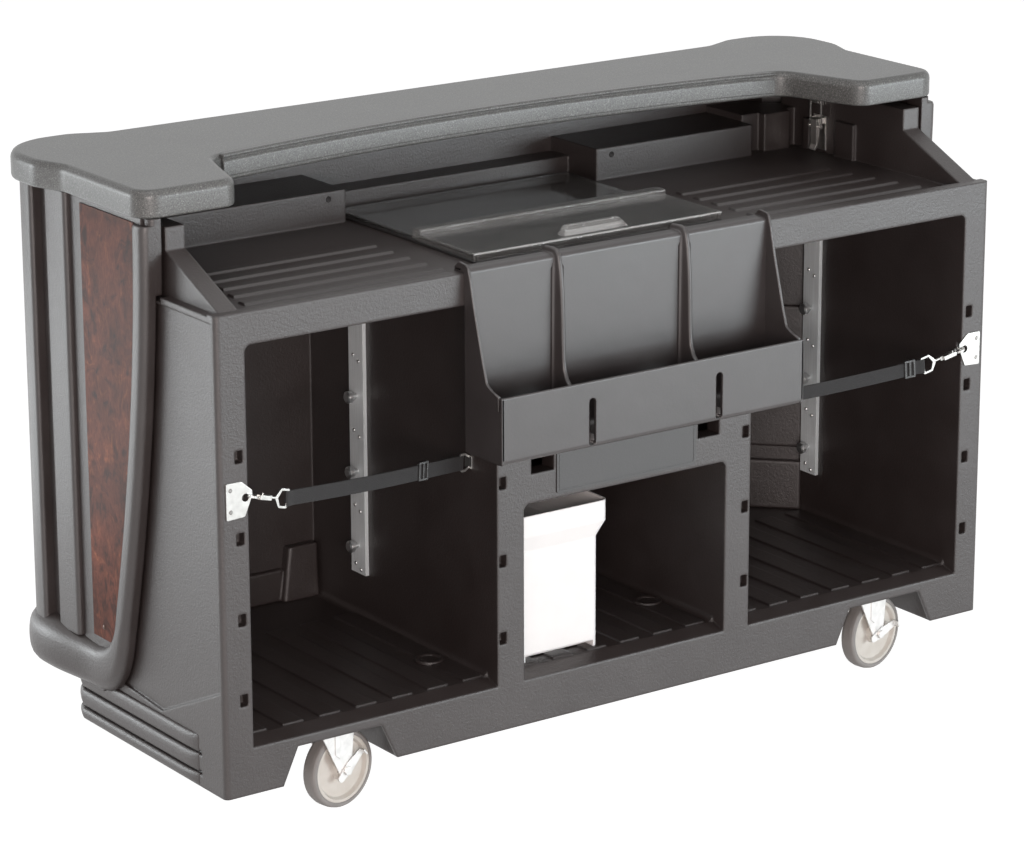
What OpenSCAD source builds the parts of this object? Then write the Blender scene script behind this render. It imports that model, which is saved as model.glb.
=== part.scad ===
// Mobile bar with a moulded cabinet, a wrap-round facade and a raised bar top.
// The bartender's side faces -Y, the customer's side faces +Y.
// Depths in this file are counted from the plane of the bartender's face.

/* [Cabinet] */
// Length of the bartender's face
body_l = 1800; // [1760:10:1900]
// Depth of the cabinet at its middle
body_d = 660; // [650:5:680]
// Depth of the cabinet's end walls, before the cut-off rear corners
end_wall_d = 526; // [515:1:535]
// Height of the front rim above the floor
rim_z = 993; // [985:1:1005]
// Height of the rim over the deck
rim_h = 13; // [6:1:16]
// Width of the rim
rim_w = 25; // [20:1:30]
// Height of the skirt's lower edge above the floor
skirt_z = 90; // [80:1:100]
// Width of the two outer columns
column_w = 60; // [56:1:70]
// Thickness of the two partitions
partition_w = 60; // [50:1:70]
// Width of the centre bay
centre_bay_w = 480; // [440:10:500]
// Height of the bay floors above the floor
bay_floor_z = 190; // [188:1:196]
// Fall of the sill from the bay floor to the face
sill_fall = 11; // [5:1:14]
// Depth of the sloping sill
sill_d = 35; // [25:1:40]
// Thickness of the deck over the bays
deck_t = 47; // [40:1:50]
// Height of the centre bay's ceiling
centre_top_z = 528; // [510:1:540]
// Thickness of the back wall
back_wall = 20; // [15:1:30]
// Corner radius of the bay openings
bay_r = 14; // [8:1:20]
// Thickness of the centre chamber's front wall
chamber_wall = 40; // [35:1:45]

/* [Deck and cheeks] */
// Thickness of a cheek
cheek_t = 40; // [30:1:45]
// Distance from the cabinet's end to the cheek
cheek_inset = 20; // [15:1:25]
// Height of the cheek's top
cheek_top_z = 1112; // [1100:1:1118]
// Depth at which the cheek's slope ends
cheek_knee_y = 195; // [180:1:205]
// Height at which the cheek's slope ends
cheek_knee_z = 1070; // [1050:1:1085]
// Depth of the ledge's front
ledge_y = 505; // [500:1:515]
// Height of the ledge over the deck
ledge_h = 65; // [50:1:70]
// Distance from the middle to the ledge's outer end
ledge_x = 700; // [690:1:705]
// Depth of the centre upstand's front
upstand_y = 600; // [596:1:615]
// Height of the centre upstand over the deck
upstand_h = 35; // [25:1:45]
// Height of the deck's drain ribs
deck_rib_h = 4; // [2:0.5:6]
// Spacing of the deck's drain ribs
deck_rib_pitch = 56; // [50:1:60]

/* [Front details] */
// Vertical spacing of the shelf slots
slot_pitch = 152.4; // [148:0.1:156]
// Height of the lowest shelf slot's middle
slot_low_z = 274; // [270:1:280]
// Width of a shelf slot
slot_w = 17; // [14:1:20]
// Height of a shelf slot
slot_h = 24; // [20:1:28]
// Depth of a shelf slot
slot_d = 20; // [15:1:25]
// Half width of a caster arch at its foot
arch_foot_w = 125; // [120:1:130]
// Half width of a caster arch at its top
arch_top_w = 92; // [88:1:100]
// Height of a caster arch's top above the floor
arch_top_z = 161; // [160:1:164]
// Width of the label plate
label_w = 330; // [300:5:350]
// Height of the label plate
label_h = 100; // [90:1:105]
// Thickness of the label plate
label_t = 2; // [1.5:0.1:3]

/* [Facade] */
// How far the facade stands out from the cabinet
facade_out = 30; // [28:1:34]
// Thickness of the facade's wall
facade_wall = 17; // [14:1:19]
// Outer radius of the facade's corners
facade_r = 95; // [90:1:100]
// How far the corner pilasters stand proud
pilaster_out = 10; // [6:1:12]
// Height of the facade's lower edge
facade_foot_z = 180; // [176:1:184]
// Width of the leaning front rail
front_rail_w = 44; // [38:1:48]
// How far back the front rail leans at the bumper
front_rail_lean = 150; // [130:1:160]
// Height of the bumper rail
bumper_h = 110; // [100:1:118]
// How far the bumper stands out from the facade
bumper_out = 25; // [20:1:25]
// Thickness of the burl panels
panel_t = 3; // [2:0.5:5]
// Radius of a panel screw's head
panel_screw_r = 5; // [4:0.5:6]

/* [Bar top] */
// Height of the bar top's upper face
bar_z = 1183; // [1170:1:1200]
// Thickness of the bar top
bar_t = 53; // [48:1:58]
// Size of the bar top's edge bevel
bar_bevel = 8; // [4:1:12]
// Depth of the centre's front edge at the middle
bar_front_y = 435; // [425:1:440]
// Depth of the wings' front edge
wing_front_y = 195; // [190:1:200]

/* [Draw latches] */
// Crank radius of the latch lever
latch_crank = 12; // [10:1:14]
// Length of the bail
bail_l = 55; // [50:1:60]
// Radius of the bail's wire
bail_wire_r = 2; // [1.5:0.1:2.5]

/* [Ice sink] */
// Gap between the sink's basin and the centre chamber's end walls
sink_end_gap = 11; // [8:1:30]
// Width of the sink's basin
sink_w = 460; // [430:5:470]
// Depth of the sink's basin
sink_depth = 294; // [250:1:320]
// Thickness of the sink's wall
sink_t = 4; // [3:0.5:6]
// Thickness of the lids
lid_t = 4; // [3:0.5:5]

/* [Speed rail] */
// Length of the speed rail
rail_l = 704; // [680:2:720]
// Distance from the face to the lip's front
rail_out = 118; // [110:1:130]
// Height of the lip
lip_h = 128; // [110:1:140]
// Height of the lip's lower edge above the floor
lip_z = 655; // [650:1:665]
// Thickness of the rail's sheet
rail_sheet = 6; // [4:0.5:8]
// Width of a ridge between two bins at its foot
ridge_w = 30; // [24:1:34]
// How far a ridge stands out from the rail's back
ridge_out = 28; // [22:1:32]
// Distance from the rail's middle to a ridge
ridge_x = 148; // [130:1:160]
// Sideways place of the rail's middle
rail_x = -20; // [-24:1:-10]

/* [Waste container] */
// Width of the container's body
bin_w = 196; // [180:1:198]
// Depth of the container's body
bin_d = 380; // [340:5:400]
// Height of the container
bin_h = 296; // [280:1:300]
// Flare of the container's collar
bin_flare = 13; // [8:1:14]
// Thickness of the container's wall
bin_t = 3; // [2:0.5:4]

/* [Shelf rails and straps] */
// Width of a shelf rail
shelf_rail_w = 50; // [44:1:56]
// Depth of a shelf rail's channel
shelf_rail_t = 8; // [6:0.5:10]
// Gap between a shelf rail and the bay's ceiling
shelf_rail_top_gap = 53; // [40:1:60]
// Length of a shelf rail
shelf_rail_l = 600; // [560:5:620]
// Radius of a shelf knob's head
knob_r = 12; // [10:0.5:13]
// Width of the webbing
strap_w = 28; // [25:1:30]
// Thickness of the webbing
strap_t = 2; // [1.5:0.1:2.5]
// Thickness of a tie plate
tie_plate_t = 2.5; // [2:0.1:3]

/* [Casters] */
// Diameter of a wheel
wheel_d = 152; // [148:1:154]
// Width of a tyre
tyre_w = 32; // [28:1:34]
// Diameter of a wheel's hub
hub_d = 131; // [120:1:136]
// Distance from the middle to a caster's swivel axis
caster_x = 645; // [640:1:652]
// Distance from the face or the back to a caster's swivel axis
caster_y = 52; // [48:1:60]
// Offset of the axle from the swivel axis
caster_trail = 20; // [16:1:24]
// Angle of the casters about their swivel axes
caster_turn = 10; // [0:1:20]
// Thickness of a fork's legs
fork_t = 3; // [2.5:0.1:4]
// Radius of the axle
axle_r = 6; // [5:0.5:8]
// Radial clearance of the running fits
run_fit = 0.05; // [0.02:0.01:0.1]

/* [Hidden] */
$fn = 48;

// A gap that keeps separate bodies apart, and a small excess for cuts
gap = 0.3;
over = 1;

half_l = body_l / 2;
deck_z = rim_z - rim_h;
bay_top_z = deck_z - deck_t;
sill_z = bay_floor_z - sill_fall;
corner_cut = body_d - end_wall_d;
bay_back_y = body_d - back_wall;
centre_half = centre_bay_w / 2;
partition_out = centre_half + partition_w;
bay_out = half_l - column_w;
bay_w = bay_out - partition_out;
bay_mid_x = (bay_out + partition_out) / 2;
cheek_out = half_l - cheek_inset;
cheek_in = cheek_out - cheek_t;
bar_under_z = bar_z - bar_t;
end_out = half_l + facade_out;
corner_x = end_out - facade_r;
wall_r = facade_r - (facade_out - facade_wall);
corner_y = body_d - (wall_r - facade_wall);
back_y = corner_y + facade_r;
bumper_r = facade_r + bumper_out;
part_back_y = corner_y + bumper_r;
y_shift = (rail_out - part_back_y) / 2;
end_rim_z = rim_z - 4;

// Points of a round corner at b, between a and c
function unit(v) = v / norm(v);
function corner_arc(a, b, c, r, step = 15) =
    let (u = unit(a - b), v = unit(c - b), ang = acos(u * v))
    let (mid = b + unit(u + v) * r / sin(ang / 2))
    let (p = b + u * r / tan(ang / 2), q = b + v * r / tan(ang / 2))
    let (a0 = atan2(p[1] - mid[1], p[0] - mid[0]), a1 = atan2(q[1] - mid[1], q[0] - mid[0]))
    let (turn = a1 - a0 > 180 ? a1 - a0 - 360 : a1 - a0 < -180 ? a1 - a0 + 360 : a1 - a0)
    let (n = max(2, ceil(abs(turn) / step)))
    [for (i = [0:n]) mid + r * [cos(a0 + turn * i / n), sin(a0 + turn * i / n)]];
// An outline from corners [x, y, radius], with each corner rounded
function rounded(p) = let (n = len(p)) [for (i = [0:n - 1])
    let (a = p[(i + n - 1) % n], b = p[i], c = p[(i + 1) % n])
    each (b[2] > 0 ? corner_arc([a[0], a[1]], [b[0], b[1]], [c[0], c[1]], b[2]) : [[b[0], b[1]]])];
function mirrored(p) = concat(p, [for (i = [len(p) - 1:-1:0]) [-p[i][0], p[i][1], p[i][2]]]);

module soft_rect(w, h, r) {
    square([w - 2 * r, h], center = true);
    square([w, h - 2 * r], center = true);
    for (x = [-1, 1], y = [-1, 1])
        translate([x * (w / 2 - r), y * (h / 2 - r)]) circle(r);
}
module both_ends() {
    children();
    mirror([1, 0, 0]) children();
}
// Stands an outline in X and Z up, from depth y0 to y1
module along_y(y0, y1) {
    translate([0, y1, 0]) rotate([90, 0, 0]) linear_extrude(y1 - y0) children();
}
// Stands an outline in Y and Z up, from x0 to x1
module along_x(x0, x1) {
    translate([x0, 0, 0]) rotate([90, 0, 90]) linear_extrude(x1 - x0) children();
}
// A bar from x0, y0, z0 to x1, y1, z1
module block(p, q) {
    translate(p) cube(q - p);
}
// Lays a shape that points along +X from p to q
module from_to(p, q) {
    d = q - p;
    translate(p) rotate([0, -atan2(d[2], norm([d[0], d[1]])), atan2(d[1], d[0])]) children();
}

// Cabinet

bay_cut_sum = half_l + end_wall_d - column_w * sqrt(2);
arch_x = caster_x + 8;
pocket_top_z = 172;
caster_back_in = 100;
pocket_reach = 122;
fascia_t = 8;
chamber_floor_z = centre_top_z + 20;
chamber_half = partition_out - 20;
sink_half = chamber_half - sink_end_gap;
sink_y0 = 100;
sink_hole_gap = 1;
slot_x = centre_half + 48;
slot_outer_x = bay_out + slot_w;
rib_w = 45;
rib_pitch = 80;
floor_rib_h = 3;
end_recess = 5;
stile_y = 341;
end_strip = 12;
hand_slot_x = 170;
hand_slot_w = 53;
hand_slot_z = 585;
hand_slot_h = 36;
eye_x = bay_out + 6;
eye_z = 655;
eye_r = 7.5;
eye_relief = 15;

module cabinet_plan() {
    polygon(rounded(mirrored([[half_l, 0, 10], [half_l, end_wall_d, 30],
        [half_l - corner_cut, body_d, 30]])));
}
module side_bay() {
    mid_z = (bay_floor_z + bay_top_z) / 2;
    intersection() {
        linear_extrude(rim_z)
            polygon([[partition_out, -over], [bay_out, -over], [bay_out, bay_cut_sum - bay_out],
                [bay_cut_sum - bay_back_y, bay_back_y], [partition_out, bay_back_y]]);
        along_y(-over, bay_back_y) translate([bay_mid_x, mid_z])
            soft_rect(bay_w, bay_top_z - bay_floor_z, bay_r);
    }
    sill(partition_out, bay_out);
}
module centre_bay() {
    mid_z = (bay_floor_z + centre_top_z) / 2;
    along_y(-over, bay_back_y) translate([0, mid_z])
        soft_rect(centre_bay_w, centre_top_z - bay_floor_z, bay_r);
    sill(-centre_half, centre_half);
}
module sill(x0, x1) {
    along_x(x0, x1) polygon([[-over, sill_z], [0, sill_z], [sill_d, bay_floor_z],
        [sill_d, bay_floor_z + bay_r], [-over, bay_floor_z + bay_r]]);
}
module floor_ribs(x0, x1) {
    n = floor((x1 - x0 - rib_w) / rib_pitch);
    start = (x0 + x1 - n * rib_pitch) / 2;
    for (i = [0:n])
        block([start + i * rib_pitch - rib_w / 2, sill_d + 5, bay_floor_z - over],
            [start + i * rib_pitch + rib_w / 2, end_wall_d - 40, bay_floor_z + floor_rib_h]);
}
module arch(depth) {
    along_y(-over, depth) polygon([[arch_x - arch_foot_w, skirt_z - over],
        [arch_x - arch_top_w, arch_top_z], [arch_x + arch_top_w, arch_top_z],
        [arch_x + arch_foot_w, skirt_z - over]]);
}
module caster_pockets() {
    both_ends() {
        arch(fascia_t + over);
        block([arch_x - arch_foot_w, fascia_t, skirt_z - over],
            [arch_x + arch_foot_w, caster_y + pocket_reach, pocket_top_z]);
        translate([0, body_d, 0]) mirror([0, 1, 0]) arch(fascia_t + over);
        block([arch_x - arch_foot_w, body_d - caster_back_in - pocket_reach, skirt_z - over],
            [arch_x + arch_foot_w, body_d - fascia_t, pocket_top_z]);
    }
}
module cheek() {
    intersection() {
        along_x(cheek_in, cheek_out)
            polygon([[rim_w - 5, deck_z - over], [rim_w - 5, rim_z], [cheek_knee_y, cheek_knee_z],
                [cheek_knee_y, cheek_top_z], [body_d, cheek_top_z], [body_d, deck_z - over]]);
        linear_extrude(cheek_top_z + over) cabinet_plan();
    }
    block([cheek_in - 8, stile_y, deck_z - over], [cheek_in + over, stile_y + 59, deck_z + 75]);
    block([cheek_in - 8, ledge_y - 23, deck_z - over],
        [cheek_in + over, ledge_y - 2, deck_z + ledge_h - over]);
}
module rear_steps() {
    intersection() {
        linear_extrude(cheek_top_z) cabinet_plan();
        union() {
            block([-partition_out, upstand_y, deck_z - over],
                [partition_out, body_d, deck_z + upstand_h]);
            both_ends() {
                block([partition_out, ledge_y, deck_z - over], [ledge_x, body_d, deck_z + ledge_h]);
                block([ledge_x, ledge_y + 35, deck_z - over],
                    [cheek_in + over, body_d, deck_z + ledge_h + 14]);
                block([ledge_x + 44, ledge_y + 15, deck_z - over],
                    [cheek_in - 27, body_d, deck_z + ledge_h + 14]);
            }
        }
    }
}
module deck_ribs() {
    for (i = [0:4])
        translate([0, 89 + i * deck_rib_pitch, deck_z])
            along_x(partition_out + 62, cheek_in - 50 - 12 * i)
                polygon([[-14, -over], [-9, deck_rib_h], [9, deck_rib_h], [14, -over]]);
}
// The slots that the shelf clips and tie plates hook into
module shelf_slots() {
    both_ends() for (i = [0:3], x = [slot_x, slot_outer_x])
        translate([0, 0, slot_low_z + i * slot_pitch])
            along_y(-over, slot_d) translate([x, 0]) soft_rect(slot_w, slot_h, 3);
}
module end_wall_recess() {
    both_ends() along_x(half_l - end_recess, half_l + over)
        polygon([[end_strip, 292], [223, 196], [end_wall_d - 60, 216], [end_wall_d - 60, 800],
            [330, end_rim_z - end_strip], [end_strip, end_rim_z - end_strip]]);
}
module plinth_grooves() {
    both_ends() for (z = [117, 155])
        along_y(82, body_d) translate([half_l, z])
            polygon([[over, -6], [-6, -2], [-6, 2], [over, 6]]);
}
module cabinet_body() {
    color([0.16, 0.16, 0.17]) {
        difference() {
            union() {
                translate([0, 0, skirt_z]) linear_extrude(deck_z - skirt_z) cabinet_plan();
                intersection() {
                    linear_extrude(rim_z) cabinet_plan();
                    union() {
                        block([-half_l, 0, deck_z - over], [half_l, rim_w, rim_z]);
                        both_ends() block([cheek_out, 0, deck_z - over],
                            [half_l, wing_front_y - 10, end_rim_z]);
                    }
                }
                both_ends() cheek();
                rear_steps();
            }
            both_ends() side_bay();
            centre_bay();
            caster_pockets();
            shelf_slots();
            end_wall_recess();
            plinth_grooves();
            block([-chamber_half, chamber_wall, chamber_floor_z],
                [chamber_half, upstand_y, bay_top_z]);
            block([-sink_half - sink_hole_gap, sink_y0 - sink_t - sink_hole_gap, bay_top_z - over],
                [sink_half + sink_hole_gap, sink_y0 + sink_w + sink_t + sink_hole_gap, deck_z + over]);
            both_ends() block([hand_slot_x, -over, hand_slot_z],
                [hand_slot_x + hand_slot_w, chamber_wall + over, hand_slot_z + hand_slot_h]);
            translate([drain_x, sink_mid_y, centre_top_z - over])
                cylinder(r = drain_r + sink_hole_gap, h = chamber_floor_z - centre_top_z + 2 * over);
            both_ends() block([bay_out - over, -over, eye_z - 12], [bay_out + 24, eye_relief, eye_z + 12]);
        }
        both_ends() {
            deck_ribs();
            floor_ribs(partition_out, bay_out);
        }
        floor_ribs(-centre_half, centre_half);
    }
}

// Facade

lean_top_z = 1105;
band_h = 48;
end_pilaster_y0 = corner_y - 120;
end_pilaster_y1 = corner_y - 43;
corner_pilaster_y = 586;
panel_back_y = end_pilaster_y0 - 42;
pilaster_w = 80;
pilaster_inner_x = 260;
pilaster_outer_x = 745;
post_in = 12;
foot_band_h = 40;
panel_edge = 12;
wall_x = corner_x + wall_r;
wall_back_y = corner_y + wall_r;
bumper_z = facade_foot_z + bumper_h;

function lean(z) = front_rail_lean
    * pow(max(0, (lean_top_z - z) / (lean_top_z - facade_foot_z)), 1.75);
function lean_points(y, z0, z1) = let (n = 16)
    [for (i = [0:n]) let (z = z0 + (z1 - z0) * i / n) [y + lean(z), z]];
function reversed(p) = [for (i = [len(p) - 1:-1:0]) p[i]];

// The plan of the facade at radius r, from depth y0 to the customer's side
module facade_plan(r, y0) {
    translate([-corner_x - r, y0]) square([2 * (corner_x + r), corner_y - y0]);
    translate([-corner_x, y0]) square([2 * corner_x, corner_y + r - y0]);
    both_ends() translate([corner_x, corner_y]) circle(r, $fn = 96);
}
module facade_ring(r_in, r_out, y0, z0, z1) {
    translate([0, 0, z0]) linear_extrude(z1 - z0) difference() {
        facade_plan(r_out, y0);
        facade_plan(r_in, y0 - over);
    }
}
module front_rail_band(x0, x1, z0) {
    along_x(x0, x1) polygon(concat(lean_points(wing_front_y, z0, bar_under_z),
        reversed(lean_points(wing_front_y + front_rail_w, z0, bar_under_z))));
}
module bumper_section() {
    t = bumper_r - wall_r;
    translate([wall_r + t / 2, facade_foot_z + bumper_h / 2]) soft_rect(t, bumper_h, t / 2 - 1);
    translate([wall_r, facade_foot_z]) square([t / 2, bumper_h]);
}
module bumper() {
    y0 = wing_front_y + lean(bumper_z);
    both_ends() {
        translate([corner_x, corner_y, 0]) rotate_extrude(angle = 90, $fn = 96) bumper_section();
        translate([corner_x, 0, 0]) along_y(y0, corner_y) bumper_section();
    }
    translate([0, corner_y, 0]) along_x(-corner_x, corner_x) bumper_section();
}
// The corner pilaster, with its rounded outer face
module corner_pilaster() {
    translate([0, 0, bumper_z - over]) linear_extrude(bar_under_z - bumper_z + over) difference() {
        union() {
            intersection() {
                translate([corner_x, corner_y]) circle(facade_r + pilaster_out, $fn = 96);
                translate([corner_x, corner_y]) square(2 * facade_r);
            }
            translate([corner_x, corner_pilaster_y])
                square([facade_r + pilaster_out, corner_y - corner_pilaster_y]);
        }
        translate([corner_x, corner_y]) circle(wall_r - over, $fn = 96);
        translate([0, 0]) square([wall_x - over, corner_y]);
        translate([0, corner_y - over]) square([corner_x + over, wall_r]);
    }
}
module facade_shell() {
    color([0.2, 0.2, 0.21]) {
        difference() {
            union() {
                facade_ring(wall_r - facade_wall, wall_r, wing_front_y, facade_foot_z, bar_under_z);
                bumper();
            }
            lean_cut(front_rail_w / 2);
        }
        both_ends() {
            front_rail_band(half_l, end_out, facade_foot_z);
            front_rail_band(half_l - post_in, half_l + over, end_rim_z + gap);
            block([wall_x - over, end_pilaster_y0, bumper_z - over],
                [end_out - 2, end_pilaster_y1, bar_under_z]);
            corner_pilaster();
            for (x = [pilaster_inner_x, pilaster_outer_x])
                block([x - pilaster_w / 2, wall_back_y - over, bumper_z - over],
                    [x + pilaster_w / 2, back_y, bar_under_z]);
        }
        block([-corner_x, wall_back_y - over, bar_under_z - band_h],
            [corner_x, back_y, bar_under_z]);
        block([-corner_x, wall_back_y - over, bumper_z - over],
            [corner_x, back_y, bumper_z + foot_band_h]);
    }
}
// What lies in front of the leaning edge, set back by y
module lean_cut(y) {
    along_x(-end_out - bumper_out - over, end_out + bumper_out + over)
        polygon(concat(lean_points(wing_front_y + y, facade_foot_z - over, bar_under_z + over),
            [[-over, bar_under_z + over], [-over, facade_foot_z - over]]));
}
module end_panel(s) {
    z1 = bar_under_z - panel_edge;
    color([0.42, 0.2, 0.14]) mirror([s < 0 ? 1 : 0, 0, 0])
        along_x(wall_x, wall_x + panel_t)
            polygon(concat(lean_points(wing_front_y + front_rail_w + gap, bumper_z + gap, z1),
                [[panel_back_y, z1], [panel_back_y, bumper_z + gap]]));
}
module customer_panels() {
    z0 = bumper_z + foot_band_h + gap;
    z1 = bar_under_z - band_h - gap;
    inner_x1 = pilaster_inner_x - pilaster_w / 2 - gap;
    side_x0 = pilaster_inner_x + pilaster_w / 2 + gap;
    side_x1 = pilaster_outer_x - pilaster_w / 2 - gap;
    color([0.42, 0.2, 0.14]) {
        block([-inner_x1, wall_back_y, z0], [inner_x1, wall_back_y + panel_t, z1]);
        both_ends() block([side_x0, wall_back_y, z0], [side_x1, wall_back_y + panel_t, z1]);
    }
}
module panel_screw() {
    rotate_extrude() intersection() {
        translate([0, -panel_screw_r * 0.8]) circle(panel_screw_r * 1.28);
        square(panel_screw_r * 2);
    }
}
module panel_screws() {
    z_end = bumper_z + 24;
    z_low = bumper_z + foot_band_h + 22;
    z_high = bar_under_z - band_h - 22;
    inner_x = pilaster_inner_x - pilaster_w / 2 - 20;
    side_x = [pilaster_inner_x + pilaster_w / 2 + 20, pilaster_outer_x - pilaster_w / 2 - 20];
    color([0.7, 0.7, 0.7]) both_ends() {
        translate([wall_x + panel_t, (wing_front_y + front_rail_w + lean(z_end) + panel_back_y) / 2,
            z_end]) rotate([0, 90, 0]) panel_screw();
        for (z = [z_low, z_high], x = concat([inner_x], side_x))
            translate([x, wall_back_y + panel_t, z]) rotate([-90, 0, 0]) panel_screw();
    }
}

// Bar top

front_arc_r = 3700;
side_slope = 0.7;
wing_root_x = 671;
wing_root_y = 376;
wing_corner_x = 729;

function bar_front(x, inset) = bar_front_y + inset - (front_arc_r - sqrt(pow(front_arc_r, 2) - x * x));
function bar_outline(inset) = rounded(mirrored(concat(
    [for (i = [0:9]) let (x = 29 + 58 * i) [x, bar_front(x, inset), 0]],
    [[wing_root_x + side_slope * inset, wing_root_y + inset, 45 + inset],
        [wing_corner_x + side_slope * inset, wing_front_y + inset, 38 - inset],
        [end_out - inset, wing_front_y + inset, 30 - inset],
        [end_out - inset, corner_y - 120, 70],
        [end_out + bumper_out - inset, corner_y - 52, 70],
        [corner_x + bumper_r - inset, part_back_y - inset, bumper_r - inset],
        [corner_x - 45, part_back_y - inset, 60],
        [corner_x - 115, back_y - 4 - inset, 60]])));

module bar_top() {
    color([0.55, 0.55, 0.54]) for (i = [0:3])
        translate([0, 0, bar_under_z + i * 5])
            linear_extrude(bar_t - i * 5 - bar_bevel * (1 - sin(30 * i)))
                polygon(bar_outline(bar_bevel * (1 - cos(30 * i))));
}

// Draw latches, drawn on the right and mirrored to the left

latch_y = 455;
latch_pivot_x = cheek_in - 13;
latch_pivot_z = bar_under_z - 83;
bail_bar_z = latch_pivot_z - latch_crank + bail_l;
latch_pin_r = 2.5;
lever_half = 9;
ear_half = 14;
ear_t = 2;
bail_half = 17.5;
keeper_half = 12;

module on_side(s) {
    mirror([s < 0 ? 1 : 0, 0, 0]) children();
}
module latch_keepers() {
    color([0.75, 0.75, 0.76]) both_ends() {
        block([cheek_in - 4, latch_y - keeper_half, bail_bar_z - 10],
            [cheek_in - 1, latch_y + keeper_half, bar_under_z]);
        block([cheek_in - 40, latch_y - keeper_half, bar_under_z - 3],
            [cheek_in - 1, latch_y + keeper_half, bar_under_z]);
        hook_under = bail_bar_z - bail_wire_r - gap;
        block([latch_pivot_x - bail_wire_r - 3, latch_y - keeper_half, hook_under - 3],
            [cheek_in - 1, latch_y + keeper_half, hook_under]);
        block([latch_pivot_x - bail_wire_r - 3, latch_y - keeper_half, hook_under - 3],
            [latch_pivot_x - bail_wire_r - 1, latch_y + keeper_half, hook_under + 2]);
    }
}
module latch_bases() {
    color([0.75, 0.75, 0.76]) both_ends() {
        block([cheek_in - 2, latch_y - 20, latch_pivot_z - 62],
            [cheek_in, latch_y + 20, latch_pivot_z + 10]);
        for (s = [-1, 1])
            along_ear(s) {
                translate([latch_pivot_x, latch_pivot_z]) circle(6);
                translate([latch_pivot_x, latch_pivot_z - 6])
                    square([cheek_in - latch_pivot_x, 12]);
            }
        translate([latch_pivot_x, latch_y, latch_pivot_z]) rotate([90, 0, 0])
            cylinder(r = latch_pin_r, h = 2 * ear_half, center = true);
    }
}
module along_ear(s) {
    y0 = latch_y + (s > 0 ? ear_half - ear_t : -ear_half);
    along_y(y0, y0 + ear_t) children();
}
module latch_lever(s) {
    color([0.78, 0.78, 0.79]) on_side(s) difference() {
        union() {
            along_y(latch_y - lever_half, latch_y + lever_half) {
                translate([latch_pivot_x, latch_pivot_z]) circle(5.5);
                polygon([[latch_pivot_x - 5.5, latch_pivot_z], [latch_pivot_x + 5.5, latch_pivot_z],
                    [latch_pivot_x + 4, latch_pivot_z - latch_crank - 4],
                    [latch_pivot_x - 2, latch_pivot_z - 56], [latch_pivot_x - 7, latch_pivot_z - 62],
                    [latch_pivot_x - 9, latch_pivot_z - 60], [latch_pivot_x - 5, latch_pivot_z - 50]]);
            }
            translate([latch_pivot_x, latch_y, latch_pivot_z - latch_crank]) rotate([90, 0, 0])
                cylinder(r = latch_pin_r, h = 2 * (bail_half + 2.5), center = true);
        }
        translate([latch_pivot_x, latch_y, latch_pivot_z]) rotate([90, 0, 0])
            cylinder(r = latch_pin_r + run_fit, h = 2 * ear_half, center = true);
    }
}
module latch_bail(s) {
    color([0.8, 0.8, 0.81]) on_side(s) translate([latch_pivot_x, latch_y, 0]) {
        for (t = [-1, 1]) difference() {
            union() {
                translate([0, t * (bail_half - 0.5), latch_pivot_z - latch_crank]) rotate([90, 0, 0])
                    cylinder(r = latch_pin_r + 2.2, h = 3, center = true);
                block([-1.5, t * (bail_half - 0.5) - 1.5, latch_pivot_z - latch_crank + 3],
                    [1.5, t * (bail_half - 0.5) + 1.5, bail_bar_z]);
            }
            translate([0, t * (bail_half - 0.5), latch_pivot_z - latch_crank]) rotate([90, 0, 0])
                cylinder(r = latch_pin_r + run_fit, h = 4, center = true);
        }
        translate([0, 0, bail_bar_z]) rotate([90, 0, 0])
            cylinder(r = bail_wire_r, h = 2 * bail_half + 2, center = true);
    }
}

// Ice sink, drain and lids

sink_mid_y = sink_y0 + sink_w / 2;
sink_y1 = sink_y0 + sink_w;
basin_r = 16;
drain_x = 90;
drain_r = 20;
sink_floor_z = deck_z - sink_depth;
flange_w = 18;
flange_z = deck_z + sink_t;
drain_end_z = centre_top_z - 30;
valve_r = 26;
valve_z = drain_end_z - 44;
lid_seam_y = 298;
tail_r = 16;
tail_l = 20;
rear_lid_half = sink_half + 7;
front_lid_half = sink_half + 21;
front_lid_y = 85;
handle_half = 75;
handle_taper = 13;
handle_w = 26;
front_lid_z = flange_z + 12;
skirt_t = 4;

// The basin's inside, or its outside with a negative inset
module basin(inset) {
    w = 2 * (sink_half - sink_t - inset);
    z0 = sink_floor_z + inset;
    z1 = flange_z + 40;
    translate([0, sink_mid_y, 0]) along_y(-sink_w / 2 + inset, sink_w / 2 - inset)
        translate([0, (z0 + z1) / 2]) soft_rect(w, z1 - z0, basin_r - inset);
}
module ice_sink() {
    flange_y = sink_w / 2 + sink_t + 14;
    color([0.2, 0.2, 0.2]) difference() {
        union() {
            block([-sink_half - flange_w, sink_mid_y - flange_y, deck_z],
                [sink_half + flange_w, sink_mid_y + flange_y, flange_z]);
            intersection() {
                basin(-sink_t);
                block([-sink_half, sink_y0 - sink_t, 0], [sink_half, sink_y1 + sink_t, flange_z]);
            }
        }
        basin(0);
        translate([drain_x, sink_mid_y, sink_floor_z - sink_t - over])
            cylinder(r = drain_r + run_fit, h = sink_t + 2 * over);
    }
}
module sink_drain() {
    color([0.7, 0.7, 0.7]) translate([drain_x, sink_mid_y, 0]) difference() {
        union() {
            translate([0, 0, sink_floor_z]) cylinder(r = drain_r + 8, h = 2);
            translate([0, 0, drain_end_z]) cylinder(r = drain_r, h = sink_floor_z - drain_end_z + 1);
        }
        translate([0, 0, drain_end_z - over])
            cylinder(r = drain_r - 4, h = sink_floor_z - drain_end_z + 4);
    }
}
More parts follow.
